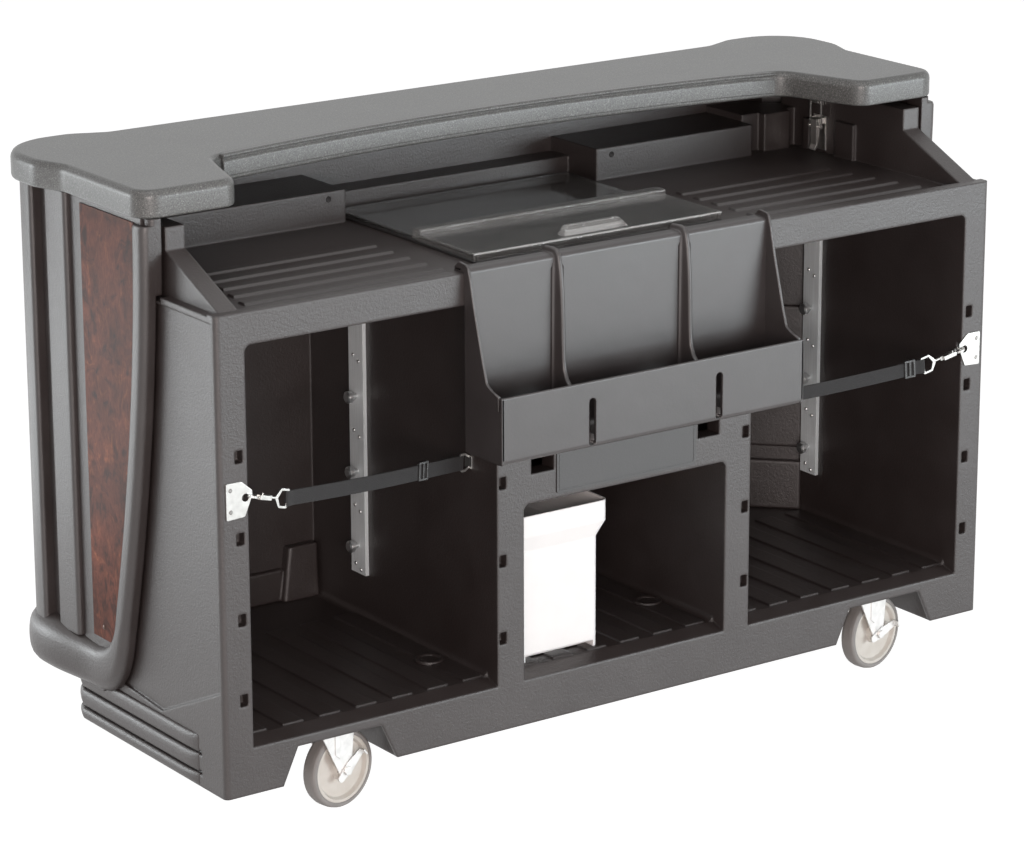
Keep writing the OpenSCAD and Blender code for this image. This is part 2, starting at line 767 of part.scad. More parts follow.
module drain_valve() {
    stub_y = -valve_r - 12;
    color([0.75, 0.62, 0.3]) translate([drain_x, sink_mid_y, 0]) difference() {
        union() {
            translate([0, 0, valve_z]) cylinder(r = valve_r - 4, h = drain_end_z - valve_z);
            translate([0, 0, valve_z]) sphere(valve_r);
            translate([0, stub_y, valve_z]) rotate([-90, 0, 0]) cylinder(r = 8, h = 20);
            translate([0, 0, valve_z - valve_r - tail_l])
                cylinder(r = tail_r, h = tail_l + valve_r);
        }
        translate([0, 0, valve_z - valve_r - tail_l - over])
            cylinder(r = tail_r - 3.5, h = drain_end_z - valve_z + valve_r + tail_l + 2 * over);
    }
}
module drain_lever() {
    y = sink_mid_y - valve_r - 12;
    color([0.6, 0.1, 0.08]) translate([drain_x, 0, valve_z]) along_y(y - 8, y - gap) {
        circle(9);
        translate([0, -7]) square([70, 14]);
        translate([70, 0]) circle(7);
    }
}
module rear_lid() {
    color([0.6, 0.62, 0.62, 0.5])
        block([-rear_lid_half, lid_seam_y - 4, flange_z + gap],
            [rear_lid_half, sink_y1 + sink_t + 14, flange_z + gap + lid_t]);
}
module front_lid() {
    under = flange_z + gap;
    color([0.6, 0.62, 0.62, 0.5]) {
        block([-front_lid_half, front_lid_y, front_lid_z],
            [front_lid_half, lid_seam_y, front_lid_z + lid_t]);
        both_ends() block([rear_lid_half + 4, front_lid_y, under],
            [rear_lid_half + 4 + skirt_t, lid_seam_y, front_lid_z + over]);
        block([-rear_lid_half - 4, front_lid_y, under],
            [rear_lid_half + 4, front_lid_y + skirt_t, front_lid_z + over]);
        for (y = [lid_seam_y - 12, lid_seam_y - 34])
            block([-front_lid_half, y, front_lid_z], [front_lid_half, y + 6, front_lid_z + lid_t + 10]);
        lid_handle();
    }
}
module lid_handle() {
    z = front_lid_z + lid_t;
    difference() {
        translate([0, front_lid_y + 12, z - over]) linear_extrude(18)
            polygon([[-handle_half, 0], [handle_half, 0], [handle_half - handle_taper, handle_w],
                [handle_taper - handle_half, handle_w]]);
        block([4 + handle_taper - handle_half, front_lid_y + 6, z + over],
            [handle_half - handle_taper - 4, front_lid_y + handle_w + 8, z + 12]);
    }
}

// Speed rail

rail_half = rail_l / 2;
rail_under_z = rim_z + gap;
rail_top_z = rail_under_z + rail_sheet;
lip_top_z = lip_z + lip_h;
lip_slot_w = 18;
lip_slot_z = lip_z + 8;
lip_slot_h = 90;

// The end wall, from its hook over the rim down to the lip
module rail_end(x) {
    along_x(x - rail_sheet / 2, x + rail_sheet / 2) polygon(rounded([[-gap, lip_z, 0],
        [-rail_out, lip_z, 0], [-rail_out, lip_top_z, 2], [-72, lip_top_z + 5, 24],
        [-30, rail_under_z - 60, 90], [-10, rail_top_z + 8, 10], [rim_w, rail_top_z + 8, 8],
        [rim_w, rail_top_z - over, 0], [-gap, rail_top_z - over, 0]]));
}
// A ridge between two bins, narrower at its nose
module ridge(x) {
    nose = ridge_out + gap;
    lip_back = -rail_out + rail_sheet - over;
    translate([x, 0, 0]) intersection() {
        along_x(-ridge_w / 2, ridge_w / 2) polygon(rounded([[-gap, lip_z, 0], [lip_back, lip_z, 0],
            [lip_back, lip_top_z - 44, 0], [-nose - 2, lip_top_z - 20, 20],
            [-nose, rail_under_z - 80, 90], [-12, rail_top_z + 5, 9],
            [rim_w, rail_top_z + 5, 8], [rim_w, rail_top_z - over, 0], [-gap, rail_top_z - over, 0]]));
        linear_extrude(rail_top_z + 10) polygon([[-ridge_w / 2, rim_w + over], [-ridge_w / 2, -8],
            [-ridge_w / 4, -nose + 4], [-ridge_w / 6, -rail_out], [ridge_w / 6, -rail_out],
            [ridge_w / 4, -nose + 4], [ridge_w / 2, -8], [ridge_w / 2, rim_w + over]]);
    }
}
module speed_rail() {
    back = rail_sheet + gap;
    tongue_y = rim_w + gap;
    color([0.15, 0.15, 0.16]) translate([rail_x, 0, 0]) difference() {
        union() {
            block([-rail_half, -back, lip_z], [rail_half, -gap, rail_top_z]);
            block([-rail_half, -back, rail_under_z], [rail_half, tongue_y + rail_sheet, rail_top_z]);
            block([-rail_half, tongue_y, rim_z - rim_h + 1],
                [rail_half, tongue_y + rail_sheet, rail_top_z]);
            block([-rail_half, -rail_out, lip_z], [rail_half, -gap, lip_z + rail_sheet]);
            block([-rail_half, -rail_out, lip_z], [rail_half, -rail_out + rail_sheet, lip_top_z]);
            for (s = [-1, 1]) {
                rail_end(s * (rail_half - rail_sheet / 2));
                ridge(s * ridge_x);
            }
        }
        for (s = [-1, 1])
            block([s * ridge_x - lip_slot_w / 2, -rail_out - over, lip_slot_z],
                [s * ridge_x + lip_slot_w / 2, -rail_out + 16, lip_slot_z + lip_slot_h]);
    }
}
module label_plate() {
    color([0.14, 0.14, 0.15]) along_y(-label_t, 0)
        translate([0, centre_top_z + 8 + label_h / 2]) soft_rect(label_w, label_h, 6);
}

// Waste container

bin_side_gap = 2;
bin_x = -centre_half + bin_side_gap + bin_flare + bin_w / 2;
bin_y0 = 48;
bin_z = bay_floor_z + floor_rib_h + gap;
bin_collar_h = 42;
bin_taper_h = 32;
bin_base_t = 16;
bin_corner = 16;

module bin_shape(inset) {
    r = bin_corner - inset;
    wide = bin_flare - inset;
    translate([0, 0, inset > 0 ? bin_base_t : 0]) linear_extrude(bin_h - bin_collar_h - bin_taper_h
        - (inset > 0 ? bin_base_t : 0)) soft_rect(bin_w - 2 * inset, bin_d - 2 * inset, r);
    hull() {
        translate([0, 0, bin_h - bin_collar_h - bin_taper_h - 0.1]) linear_extrude(0.1)
            soft_rect(bin_w - 2 * inset, bin_d - 2 * inset, r);
        translate([0, 0, bin_h - bin_collar_h]) linear_extrude(bin_collar_h + (inset > 0 ? over : 0))
            soft_rect(bin_w + 2 * wide, bin_d + 2 * wide, r);
    }
}
module waste_container() {
    color([0.95, 0.95, 0.94]) translate([bin_x, bin_y0 + bin_d / 2, bin_z]) difference() {
        bin_shape(0);
        bin_shape(bin_t);
        block([-bin_w / 2 + 22, -bin_d / 2 - over, -over], [bin_w / 2 - 14, -bin_d / 2 + 26, 13]);
    }
}

// Shelf rails and knobs

shelf_rail_y = 465;
shelf_rail_z = bay_top_z - shelf_rail_top_gap - shelf_rail_l;
knob_lift = 64;
knob_stem = 10;
knob_stem_r = 5;
knob_head = 14;
shelf_screw_r = 4;

// Puts a thing that points along +X on each of the four bay walls
module on_bay_walls() {
    both_ends() {
        translate([partition_out, shelf_rail_y, 0]) children();
        translate([bay_out, shelf_rail_y, 0]) mirror([1, 0, 0]) children();
    }
}
module shelf_rails() {
    color([0.7, 0.7, 0.7]) on_bay_walls() difference() {
        block([0, -shelf_rail_w / 2, shelf_rail_z],
            [shelf_rail_t, shelf_rail_w / 2, shelf_rail_z + shelf_rail_l]);
        block([-over, -shelf_rail_w / 2 + 2, shelf_rail_z - over],
            [shelf_rail_t - 2, shelf_rail_w / 2 - 2, shelf_rail_z + shelf_rail_l + over]);
    }
}
module shelf_knobs() {
    color([0.7, 0.7, 0.7]) on_bay_walls() for (i = [0:2])
        translate([shelf_rail_t, 0, slot_low_z + i * slot_pitch + knob_lift])
            rotate([0, 90, 0]) {
                cylinder(r = knob_stem_r, h = knob_stem + over);
                translate([0, 0, knob_stem]) cylinder(r1 = knob_r - 2, r2 = knob_r, h = 3);
                translate([0, 0, knob_stem + 3]) cylinder(r = knob_r, h = knob_head - 6);
                translate([0, 0, knob_stem + knob_head - 3])
                    cylinder(r1 = knob_r, r2 = knob_r - 4, h = 3);
            }
}
module shelf_rail_screws() {
    heights = concat([shelf_rail_z + 14, shelf_rail_z + shelf_rail_l - 14],
        [for (i = [0:2]) slot_low_z + i * slot_pitch + knob_lift + slot_pitch / 2]);
    color([0.75, 0.75, 0.75]) on_bay_walls() for (z = heights, s = [-1, 1])
        translate([shelf_rail_t, 9 * s, z + 5 * s]) rotate([0, 90, 0])
            cylinder(r1 = shelf_screw_r, r2 = shelf_screw_r - 1.5, h = 2);
}

// Tie plates, snap hooks and webbing, drawn on the right

hook_ring_r = 10;
hook_wire_r = 2;
hook_gate_y = 7;
hook_slope = 0.95;
hook_seat = 0.9;
gate_r = 1.6;
shank_end = 46;
neck_end = 57;
ring_bar_x = 86;
ring_bar_half = 16;
hook_origin = [eye_x - eye_r + hook_seat - hook_slope * (hook_ring_r - hook_wire_r),
    -tie_plate_t / 2, eye_z];
hook_aim = [eye_x - 101, 15, eye_z - 25];
hook_dir = unit(hook_aim - hook_origin);
strap_start = hook_origin + hook_dir * ring_bar_x;
anchor_z = 601;
anchor_y = 92;
anchor_reach = 18;
strap_end = [partition_out + anchor_reach, anchor_y, anchor_z];
strap_hook_gap = hook_wire_r + 3.4;
strap_anchor_gap = hook_wire_r + 1.5;
buckle_places = [31, norm(strap_end - strap_start) - 100.5];

module tie_plate(s) {
    color([0.8, 0.8, 0.8]) on_side(s) along_y(-tie_plate_t, 0) difference() {
        polygon(rounded([[eye_x + 40, eye_z + 31, 3], [eye_x + 8, eye_z + 31, 4],
            [eye_x - 14, eye_z + 12, 3], [eye_x - 14, eye_z + 2, 3],
            [eye_x + 2, eye_z - 35, 4], [eye_x + 40, eye_z - 37, 3]]));
        translate([eye_x, eye_z]) circle(eye_r);
    }
}
module tie_rivets() {
    color([0.6, 0.6, 0.6]) both_ends() for (z = [eye_z + 18, eye_z - 22])
        translate([eye_x + 31, -tie_plate_t, z]) rotate([90, 0, 0])
            cylinder(r1 = 4, r2 = 2.5, h = 1.6);
}
module hook_frame(s) {
    on_side(s) from_to(hook_origin, hook_aim) children();
}
module snap_hook(s) {
    color([0.75, 0.75, 0.75]) hook_frame(s) {
        translate([0, 0, -hook_wire_r]) linear_extrude(2 * hook_wire_r) difference() {
            circle(hook_ring_r + hook_wire_r);
            circle(hook_ring_r - hook_wire_r);
            polygon([[0, 0], [20, 20], [30, 10], [20, -4.5]]);
        }
        difference() {
            union() {
                block([8, -4, -4], [shank_end, 4, 4]);
                block([12, 3, -4], [shank_end - 6, 10, 4]);
            }
            translate([11, hook_gate_y, 0]) rotate([0, 90, 0]) cylinder(r = gate_r + run_fit, h = 18);
            block([16, hook_gate_y - gate_r - 0.4, 0], [28, hook_gate_y + gate_r + 0.4, 5]);
        }
        translate([shank_end - over, 0, 0]) rotate([0, 90, 0])
            cylinder(r = 2.5, h = neck_end - shank_end + 4);
        d_ring();
    }
}
module d_ring() {
    inner = ring_bar_half - hook_wire_r;
    outer = ring_bar_half + hook_wire_r;
    along_y(-hook_wire_r, hook_wire_r) difference() {
        polygon(rounded([[neck_end, -3, 0], [neck_end + 11, -outer, 5],
            [ring_bar_x + hook_wire_r, -outer, 3], [ring_bar_x + hook_wire_r, outer, 3],
            [neck_end + 11, outer, 5], [neck_end, 3, 0]]));
        polygon([[neck_end + 6, 0], [neck_end + 13, -inner],
            [ring_bar_x - hook_wire_r, -inner], [ring_bar_x - hook_wire_r, inner],
            [neck_end + 13, inner]]);
    }
}
module snap_trigger(s) {
    color([0.7, 0.7, 0.7]) hook_frame(s) {
        translate([9, hook_gate_y, 0]) rotate([0, 90, 0]) cylinder(r = gate_r, h = 12);
        translate([18, hook_gate_y, 0]) cylinder(r = 1.5, h = 8);
    }
}
module strap_frame(s) {
    on_side(s) from_to(strap_start, strap_end) children();
}
module strap(s) {
    l = norm(strap_end - strap_start);
    color([0.05, 0.05, 0.05]) strap_frame(s)
        block([strap_hook_gap, -strap_t / 2, -strap_w / 2],
            [l - strap_anchor_gap, strap_t / 2, strap_w / 2]);
}
module slider_buckles() {
    color([0.08, 0.08, 0.08]) for (i = [0, 1]) strap_frame(i == 0 ? 1 : -1)
        translate([buckle_places[i], 0, 0]) difference() {
            block([-12, -3.5, -strap_w / 2 - 4], [12, 3.5, strap_w / 2 + 4]);
            block([-13, -strap_t / 2 - gap, -strap_w / 2 - gap],
                [13, strap_t / 2 + gap, strap_w / 2 + gap]);
            for (x = [-8, 2]) block([x, -4, -strap_w / 2], [x + 6, 4, strap_w / 2]);
        }
}
module strap_anchors() {
    inner = ring_bar_half - hook_wire_r;
    outer = ring_bar_half + hook_wire_r;
    color([0.75, 0.75, 0.75]) both_ends() translate([partition_out, anchor_y, anchor_z]) {
        block([0, -11, -12], [2, 11, 12]);
        along_y(-hook_wire_r, hook_wire_r) difference() {
            polygon(rounded([[1, -12, 0], [9, -outer, 3], [anchor_reach + hook_wire_r, -outer, 3],
                [anchor_reach + hook_wire_r, outer, 3], [9, outer, 3], [1, 12, 0]]));
            polygon([[1, -8], [10, -inner], [anchor_reach - hook_wire_r, -inner],
                [anchor_reach - hook_wire_r, inner], [10, inner], [1, 8]]);
        }
    }
}

// Casters: 1 and 2 in front, with brakes, 3 and 4 at the back

caster_plate_t = 4;
race_h = 8;
race_r = 32;
crown_z1 = pocket_top_z - caster_plate_t - race_h - gap;
crown_z0 = crown_z1 - fork_t;
kingpin_r = 6;
kingpin_head_r = 9;
leg_y = tyre_w / 2 + 4;
wheel_z = wheel_d / 2;
bolt_x = 40;
bolt_y = 30;
brake_rise = [38, 15];

module at_caster(i) {
    x = i % 2 == 0 ? caster_x : -caster_x;
    y = i < 3 ? caster_y : body_d - caster_back_in;
    translate([x, y, 0]) rotate([0, 0, caster_turn]) children();
}
module at_mount(i) {
    x = i % 2 == 0 ? caster_x : -caster_x;
    y = i < 3 ? caster_y : body_d - caster_back_in;
    translate([x, y, 0]) children();
}
module at_axle(i) {
    at_caster(i) translate([caster_trail, 0, wheel_z]) rotate([90, 0, 0]) children();
}
module caster_plates() {
    color([0.8, 0.8, 0.8]) for (i = [1:4]) at_mount(i) difference() {
        union() {
            translate([0, 0, pocket_top_z - caster_plate_t]) linear_extrude(caster_plate_t)
                soft_rect(2 * bolt_x + 22, 2 * bolt_y + 22, 8);
            translate([0, 0, pocket_top_z - caster_plate_t - race_h])
                cylinder(r = race_r, h = race_h + over);
            translate([0, 0, crown_z0 - gap - 2])
                cylinder(r = kingpin_r, h = pocket_top_z - crown_z0 + gap);
            translate([0, 0, crown_z0 - gap - 2.5]) cylinder(r = kingpin_head_r, h = 2.5);
        }
        for (x = [-bolt_x, bolt_x], y = [-bolt_y, bolt_y])
            translate([x, y, pocket_top_z - caster_plate_t - over])
                cylinder(r = 4.5, h = caster_plate_t + 2 * over);
    }
}
module caster_bolts() {
    color([0.7, 0.7, 0.7]) for (i = [1:4]) at_mount(i)
        for (x = [-bolt_x, bolt_x], y = [-bolt_y, bolt_y])
            translate([x, y, pocket_top_z - caster_plate_t - 5]) {
                cylinder(r = 7.5, h = 5, $fn = 6);
                cylinder(r = 4, h = 5 + caster_plate_t);
            }
}
module fork_leg() {
    along_y(-fork_t / 2, fork_t / 2) difference() {
        union() {
            polygon([[-40, crown_z1], [42, crown_z1], [40, wheel_z + 62],
                [caster_trail + 14, wheel_z + 4], [caster_trail + 2, wheel_z - 14],
                [caster_trail - 14, wheel_z - 8]]);
            translate([caster_trail, wheel_z]) circle(14);
        }
        translate([caster_trail, wheel_z]) circle(axle_r + run_fit);
    }
}
module caster_fork(i) {
    color([0.85, 0.85, 0.85]) at_caster(i) {
        for (s = [-1, 1]) {
            translate([0, s * (leg_y + fork_t / 2), 0]) fork_leg();
            translate([0, s * (leg_y + fork_t + 0.5), 0]) along_y(-1.5, 1.5)
                polygon([[-7, crown_z1 - 4], [5, crown_z1 - 4], [5, wheel_z + 26], [-7, wheel_z + 36]]);
        }
        difference() {
            block([-40, -leg_y - fork_t, crown_z0], [42, leg_y + fork_t, crown_z1]);
            translate([0, 0, crown_z0 - over]) cylinder(r = kingpin_r + run_fit, h = fork_t + 2 * over);
        }
    }
}
module caster_axle(i) {
    near = leg_y + fork_t;
    color([0.75, 0.75, 0.75]) at_axle(i) {
        translate([0, 0, -near - 4]) cylinder(r = axle_r, h = 2 * near + (i < 3 ? 12 : 8));
        translate([0, 0, -near - 5]) cylinder(r = axle_r + 4, h = 5 - gap / 3, $fn = 6);
        translate([0, 0, near + (i < 3 ? 3.6 : 0.1)]) cylinder(r = axle_r + 3, h = 5, $fn = 6);
    }
}
module wheel_hub(i) {
    color([0.85, 0.82, 0.76]) at_axle(i) difference() {
        union() {
            rotate_extrude($fn = 72) polygon([[0, -tyre_w / 2 - 2], [18, -tyre_w / 2 - 2],
                [22, -8], [hub_d / 2 - 10, -7], [hub_d / 2 - 6, -tyre_w / 2 + 1],
                [hub_d / 2, -tyre_w / 2 + 1], [hub_d / 2, tyre_w / 2 - 1],
                [hub_d / 2 - 6, tyre_w / 2 - 1], [hub_d / 2 - 10, 7], [22, 8],
                [18, tyre_w / 2 + 2], [0, tyre_w / 2 + 2]]);
        }
        cylinder(r = axle_r + run_fit, h = tyre_w + 10, center = true);
    }
}
module tyre(i) {
    r = wheel_d / 2;
    color([0.42, 0.42, 0.43]) at_axle(i) rotate_extrude($fn = 96)
        polygon([[hub_d / 2, -tyre_w / 2], [r - 5, -tyre_w / 2], [r - 1.5, -tyre_w / 2 + 3],
            [r, -tyre_w / 2 + 9], [r, tyre_w / 2 - 9], [r - 1.5, tyre_w / 2 - 3],
            [r - 5, tyre_w / 2], [hub_d / 2, tyre_w / 2]]);
}
module brake_lever(i) {
    near = leg_y + fork_t;
    color([0.85, 0.85, 0.85]) at_axle(i) rotate([0, 0, brake_rise[i - 1]]) difference() {
        union() {
            translate([0, 0, near + 0.3]) linear_extrude(3) polygon(rounded([[-26, -9, 6],
                [10, -11, 6], [48, -6, 3], [48, 7, 3], [10, 10, 6], [-26, 5, 6]]));
            translate([46, -6.5, near + 0.3]) cube([3, 13, 14]);
        }
        cylinder(r = axle_r + run_fit, h = near + 10);
    }
}

module place() {
    translate([0, y_shift, 0]) children();
}

place() cabinet_body();
place() facade_shell();
place() end_panel(-1);  // end_panel_left
place() end_panel(1);  // end_panel_right
place() customer_panels();
place() panel_screws();
place() bar_top();
place() latch_keepers();
place() latch_bases();
place() latch_lever(-1);  // latch_lever_left
place() latch_lever(1);  // latch_lever_right
place() latch_bail(-1);  // latch_bail_left
place() latch_bail(1);  // latch_bail_right
place() ice_sink();
place() sink_drain();
place() drain_valve();
place() drain_lever();
place() rear_lid();
place() front_lid();
place() speed_rail();
place() label_plate();
place() waste_container();
place() shelf_rails();
place() shelf_knobs();
place() shelf_rail_screws();
place() tie_plate(-1);  // tie_plate_left
place() tie_plate(1);  // tie_plate_right
place() tie_rivets();
place() snap_hook(-1);  // snap_hook_left
place() snap_hook(1);  // snap_hook_right
place() snap_trigger(-1);  // snap_trigger_left
place() snap_trigger(1);  // snap_trigger_right
place() strap(-1);  // strap_left
place() strap(1);  // strap_right
place() slider_buckles();
place() strap_anchors();
place() caster_plates();
place() caster_bolts();
place() caster_fork(1);  // caster_fork_1
place() caster_fork(2);  // caster_fork_2
place() caster_fork(3);  // caster_fork_3
place() caster_fork(4);  // caster_fork_4
place() caster_axle(1);  // caster_axle_1
place() caster_axle(2);  // caster_axle_2
place() caster_axle(3);  // caster_axle_3
place() caster_axle(4);  // caster_axle_4
place() wheel_hub(1);  // wheel_hub_1
place() wheel_hub(2);  // wheel_hub_2
place() wheel_hub(3);  // wheel_hub_3
place() wheel_hub(4);  // wheel_hub_4
place() tyre(1);  // tyre_1
place() tyre(2);  // tyre_2
place() tyre(3);  // tyre_3
place() tyre(4);  // tyre_4
place() brake_lever(1);  // brake_lever_1
place() brake_lever(2);  // brake_lever_2
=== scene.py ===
"""Looks of a mobile bar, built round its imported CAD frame.

Blender works in metres. The bar's own measures are in millimetres, and at() turns them into places.
"""

import math

import bmesh
import bpy
from mathutils import Matrix, Vector


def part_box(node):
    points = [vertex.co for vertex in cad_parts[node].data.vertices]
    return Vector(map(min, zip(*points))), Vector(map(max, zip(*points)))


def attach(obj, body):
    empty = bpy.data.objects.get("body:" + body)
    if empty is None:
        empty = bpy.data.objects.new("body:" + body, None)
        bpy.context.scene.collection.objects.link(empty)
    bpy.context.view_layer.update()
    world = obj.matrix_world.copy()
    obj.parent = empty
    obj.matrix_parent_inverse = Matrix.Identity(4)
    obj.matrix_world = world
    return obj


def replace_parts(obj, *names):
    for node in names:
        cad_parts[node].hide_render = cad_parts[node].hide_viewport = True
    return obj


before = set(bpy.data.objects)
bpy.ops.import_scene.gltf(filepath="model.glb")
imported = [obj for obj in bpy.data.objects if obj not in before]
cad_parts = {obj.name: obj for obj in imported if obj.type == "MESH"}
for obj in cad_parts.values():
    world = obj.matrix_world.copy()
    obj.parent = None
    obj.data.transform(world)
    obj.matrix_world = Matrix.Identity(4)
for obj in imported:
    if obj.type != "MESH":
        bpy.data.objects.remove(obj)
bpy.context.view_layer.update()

# The cabinet is one hollow polyethylene moulding in charcoal, with a fine pebbled skin.
# Its bays, deck and cheeks come out of one mould, which rounds every edge.
CABINET_EDGE = 0.007
CHARCOAL_LOW, CHARCOAL = (0.025, 0.0175, 0.0163), (0.033, 0.025, 0.0238)
PLASTIC_SHINE = 0.82
CLOUD_SIZE, WAVE_SIZE, PEBBLE_SIZE = 0.09, 0.05, 0.005


def add_node(material, kind, inputs, **settings):
    """Adds a node with its settings, and gives each input a value or a link."""
    node = material.node_tree.nodes.new(kind)
    for key, value in settings.items():
        setattr(node, key, value)
    for key, value in inputs.items():
        if isinstance(value, bpy.types.NodeSocket):
            material.node_tree.links.new(value, node.inputs[key])
        else:
            node.inputs[key].default_value = value
    return node


def new_material(name, colour, roughness, others=()):
    """A material with its colour, its roughness and any others, given as (socket, value)."""
    material = bpy.data.materials.new(name)
    material.use_nodes = True
    shader = material.node_tree.nodes["Principled BSDF"]
    for socket, value in [("Base Color", (*colour, 1)), ("Roughness", roughness), *others]:
        shader.inputs[socket].default_value = value
    return material


def place_on_piece(material, scale=(1, 1, 1)):
    """The point on the piece itself, stretched, so that a pattern moves with it."""
    where = add_node(material, "ShaderNodeTexCoord", {})
    stretch = {"Vector": where.outputs["Object"], "Scale": scale}
    return add_node(material, "ShaderNodeMapping", stretch).outputs["Vector"]


def clouds(material, vector, size, detail, rough=0.5, warp=0.0):
    """A soft random field whose features are about size metres across."""
    field = {"Vector": vector, "Scale": 1 / size, "Detail": detail, "Roughness": rough, "Distortion": warp}
    return add_node(material, "ShaderNodeTexNoise", field).outputs["Fac"]


def shades(material, field, stops):
    """Turns a field into colours, with stops of (place, colour)."""
    node = add_node(material, "ShaderNodeValToRGB", {"Fac": field})
    ramp = node.color_ramp
    while len(ramp.elements) < len(stops):
        ramp.elements.new(1.0)
    for element, (place, colour) in zip(ramp.elements, stops):
        element.position = place
        element.color = (*colour, 1)
    return node.outputs["Color"]


def between(material, field, low, high, start=0.0, end=1.0):
    """Maps a field from start..end to low..high."""
    reach = {"Value": field, "From Min": start, "From Max": end, "To Min": low, "To Max": high}
    return add_node(material, "ShaderNodeMapRange", reach).outputs["Result"]


def paint(material, socket, value):
    shader = material.node_tree.nodes["Principled BSDF"]
    material.node_tree.links.new(value, shader.inputs[socket])


def edge_rounding(material, radius):
    """Lets light roll over sharp edges as if they had this radius, in metres."""
    node = add_node(material, "ShaderNodeBevel", {"Radius": radius}, samples=6)
    paint(material, "Normal", node.outputs["Normal"])
    return node.outputs["Normal"]


def relief(material, height, depth, strength, under=None):
    """Bumps the surface by height, depth metres deep, over an earlier relief."""
    bump = {"Height": height, "Distance": depth, "Strength": strength}
    if under is not None:
        bump["Normal"] = under
    node = add_node(material, "ShaderNodeBump", bump)
    paint(material, "Normal", node.outputs["Normal"])
    return node.outputs["Normal"]


def pebbled_plastic(name, low, high, roughness, edge, pebble_depth=0.0009):
    """Moulded plastic with a pebbled skin, slight clouds and faint waves in its faces."""
    material = new_material(name, high, roughness, [("Specular IOR Level", PLASTIC_SHINE)])
    where = place_on_piece(material)
    cloud = clouds(material, where, CLOUD_SIZE, 4)
    paint(material, "Base Color", shades(material, cloud, [(0.3, low), (0.7, high)]))
    paint(material, "Roughness", between(material, cloud, roughness - 0.05, roughness + 0.06))
    rounded = edge_rounding(material, edge)
    waves = relief(material, clouds(material, where, WAVE_SIZE, 1), 0.001, 0.3, rounded)
    relief(material, clouds(material, where, PEBBLE_SIZE, 3, 0.75), pebble_depth, 0.8, waves)
    return material


def finish(material, *names):
    """Gives CAD pieces their real finish."""
    for name in names:
        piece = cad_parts[name]
        piece.data.materials.clear()
        piece.data.materials.append(material)


cabinet_plastic = pebbled_plastic("cabinet_plastic", CHARCOAL_LOW, CHARCOAL, 0.42, CABINET_EDGE)
finish(cabinet_plastic, "cabinet_body")

# Three round ribs run along the plinth at each end and round its cut-off rear corners.
# They stiffen the skirt, and they fade out before the front.
MM = 0.001
FACE_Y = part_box("cabinet_body")[0].y
PLINTH_PLAN = [(-900, 92), (-900, 526), (-766, 660)]
CORNER_REACH = 14
FADE_IN = [(0, 0.05), (10, 0.5), (26, 0.85), (50, 1)]
FADE_OUT = [(26, 1), (14, 0.8), (4, 0.3), (0, 0.05)]
RIB_PROUD, RIB_SUNK = 7, 4
RIB_HEIGHTS = [(92, 115), (119, 153), (157, 190)]
SHARP_EDGE = 40


def at(x, depth, z):
    """A point from millimetres: across, behind the bartender's face, and above the floor."""
    return Vector((x * MM, FACE_Y + depth * MM, z * MM))


def in_scene(name, data):
    thing = bpy.data.objects.new(name, data)
    bpy.context.scene.collection.objects.link(thing)
    return thing


def new_piece(name, shell, material, body, sharp=SHARP_EDGE):
    """A piece of the bar from a shell of points and faces, which rides on a body."""
    points, faces = shell
    mesh = bpy.data.meshes.new(name)
    mesh.from_pydata([tuple(point) for point in points], [], faces)
    skin = bmesh.new()
    skin.from_mesh(mesh)
    bmesh.ops.remove_doubles(skin, verts=skin.verts, dist=1e-6)
    bmesh.ops.recalc_face_normals(skin, faces=skin.faces)
    skin.to_mesh(mesh)
    skin.free()
    mesh.polygons.foreach_set("use_smooth", [True] * len(mesh.polygons))
    mesh.set_sharp_from_angle(angle=math.radians(sharp))
    mesh.materials.append(material)
    piece = in_scene(name, mesh)
    flats = piece.modifiers.new("even_flats", "WEIGHTED_NORMAL")
    flats.keep_sharp = True
    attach(piece, body)
    return piece


def together(*shells):
    points, faces = [], []
    for some_points, some_faces in shells:
        faces += [tuple(k + len(points) for k in face) for face in some_faces]
        points += some_points
    return points, faces


def both_sides(shell):
    """A shell with its mirror image on the other side of the bar."""
    points, faces = shell
    mirrored = [Vector((-p.x, p.y, p.z)) for p in points], [tuple(reversed(face)) for face in faces]
    return together(shell, mirrored)


def loft(rings, caps=True):
    """Joins rings of as many points each into a skin, and closes its two ends."""
    count = len(rings[0])
    points = [point for ring in rings for point in ring]
    faces = []
    for i in range(len(rings) - 1):
        a, b = i * count, (i + 1) * count
        faces += [(a + k, a + (k + 1) % count, b + (k + 1) % count, b + k) for k in range(count)]
    if caps:
        faces += [tuple(range(count)), tuple(range(len(points) - count, len(points)))]
    return points, faces


def plinth_path():
    """Places from the front to the back: where, which way is ahead, and how far the rib has swelled."""
    start, corner, end = (Vector(p) for p in PLINTH_PLAN)
    first, second = (corner - start).normalized(), (end - corner).normalized()
    path = [(start + first * run, first, swell) for run, swell in FADE_IN]
    for k in range(7):
        ahead = first.lerp(second, k / 6).normalized()
        path.append((corner - first * CORNER_REACH * (1 - k / 6) + second * CORNER_REACH * k / 6, ahead, 1))
    path += [(end - second * run, second, swell) for run, swell in FADE_OUT]
    return path


def plinth_rib(low, high):
    middle, half = (low + high) / 2, (high - low) / 2
    rings = []
    for place, ahead, swell in plinth_path():
        out = Vector((-ahead.y, ahead.x))
        ring = []
        for k in range(11):
            angle = math.pi * k / 10
            spot = place + out * (RIB_PROUD * swell * math.sin(angle) ** 0.7)
            ring.append(at(spot.x, spot.y, middle - half * math.cos(angle)))
        back = place - out * RIB_SUNK
        ring += [at(back.x, back.y, high), at(back.x, back.y, low)]
        rings.append(ring)
    return loft(rings)


plinth_ribs = together(*(both_sides(plinth_rib(low, high)) for low, high in RIB_HEIGHTS))
new_piece("plinth_ribs", plinth_ribs, cabinet_plastic, "bar")

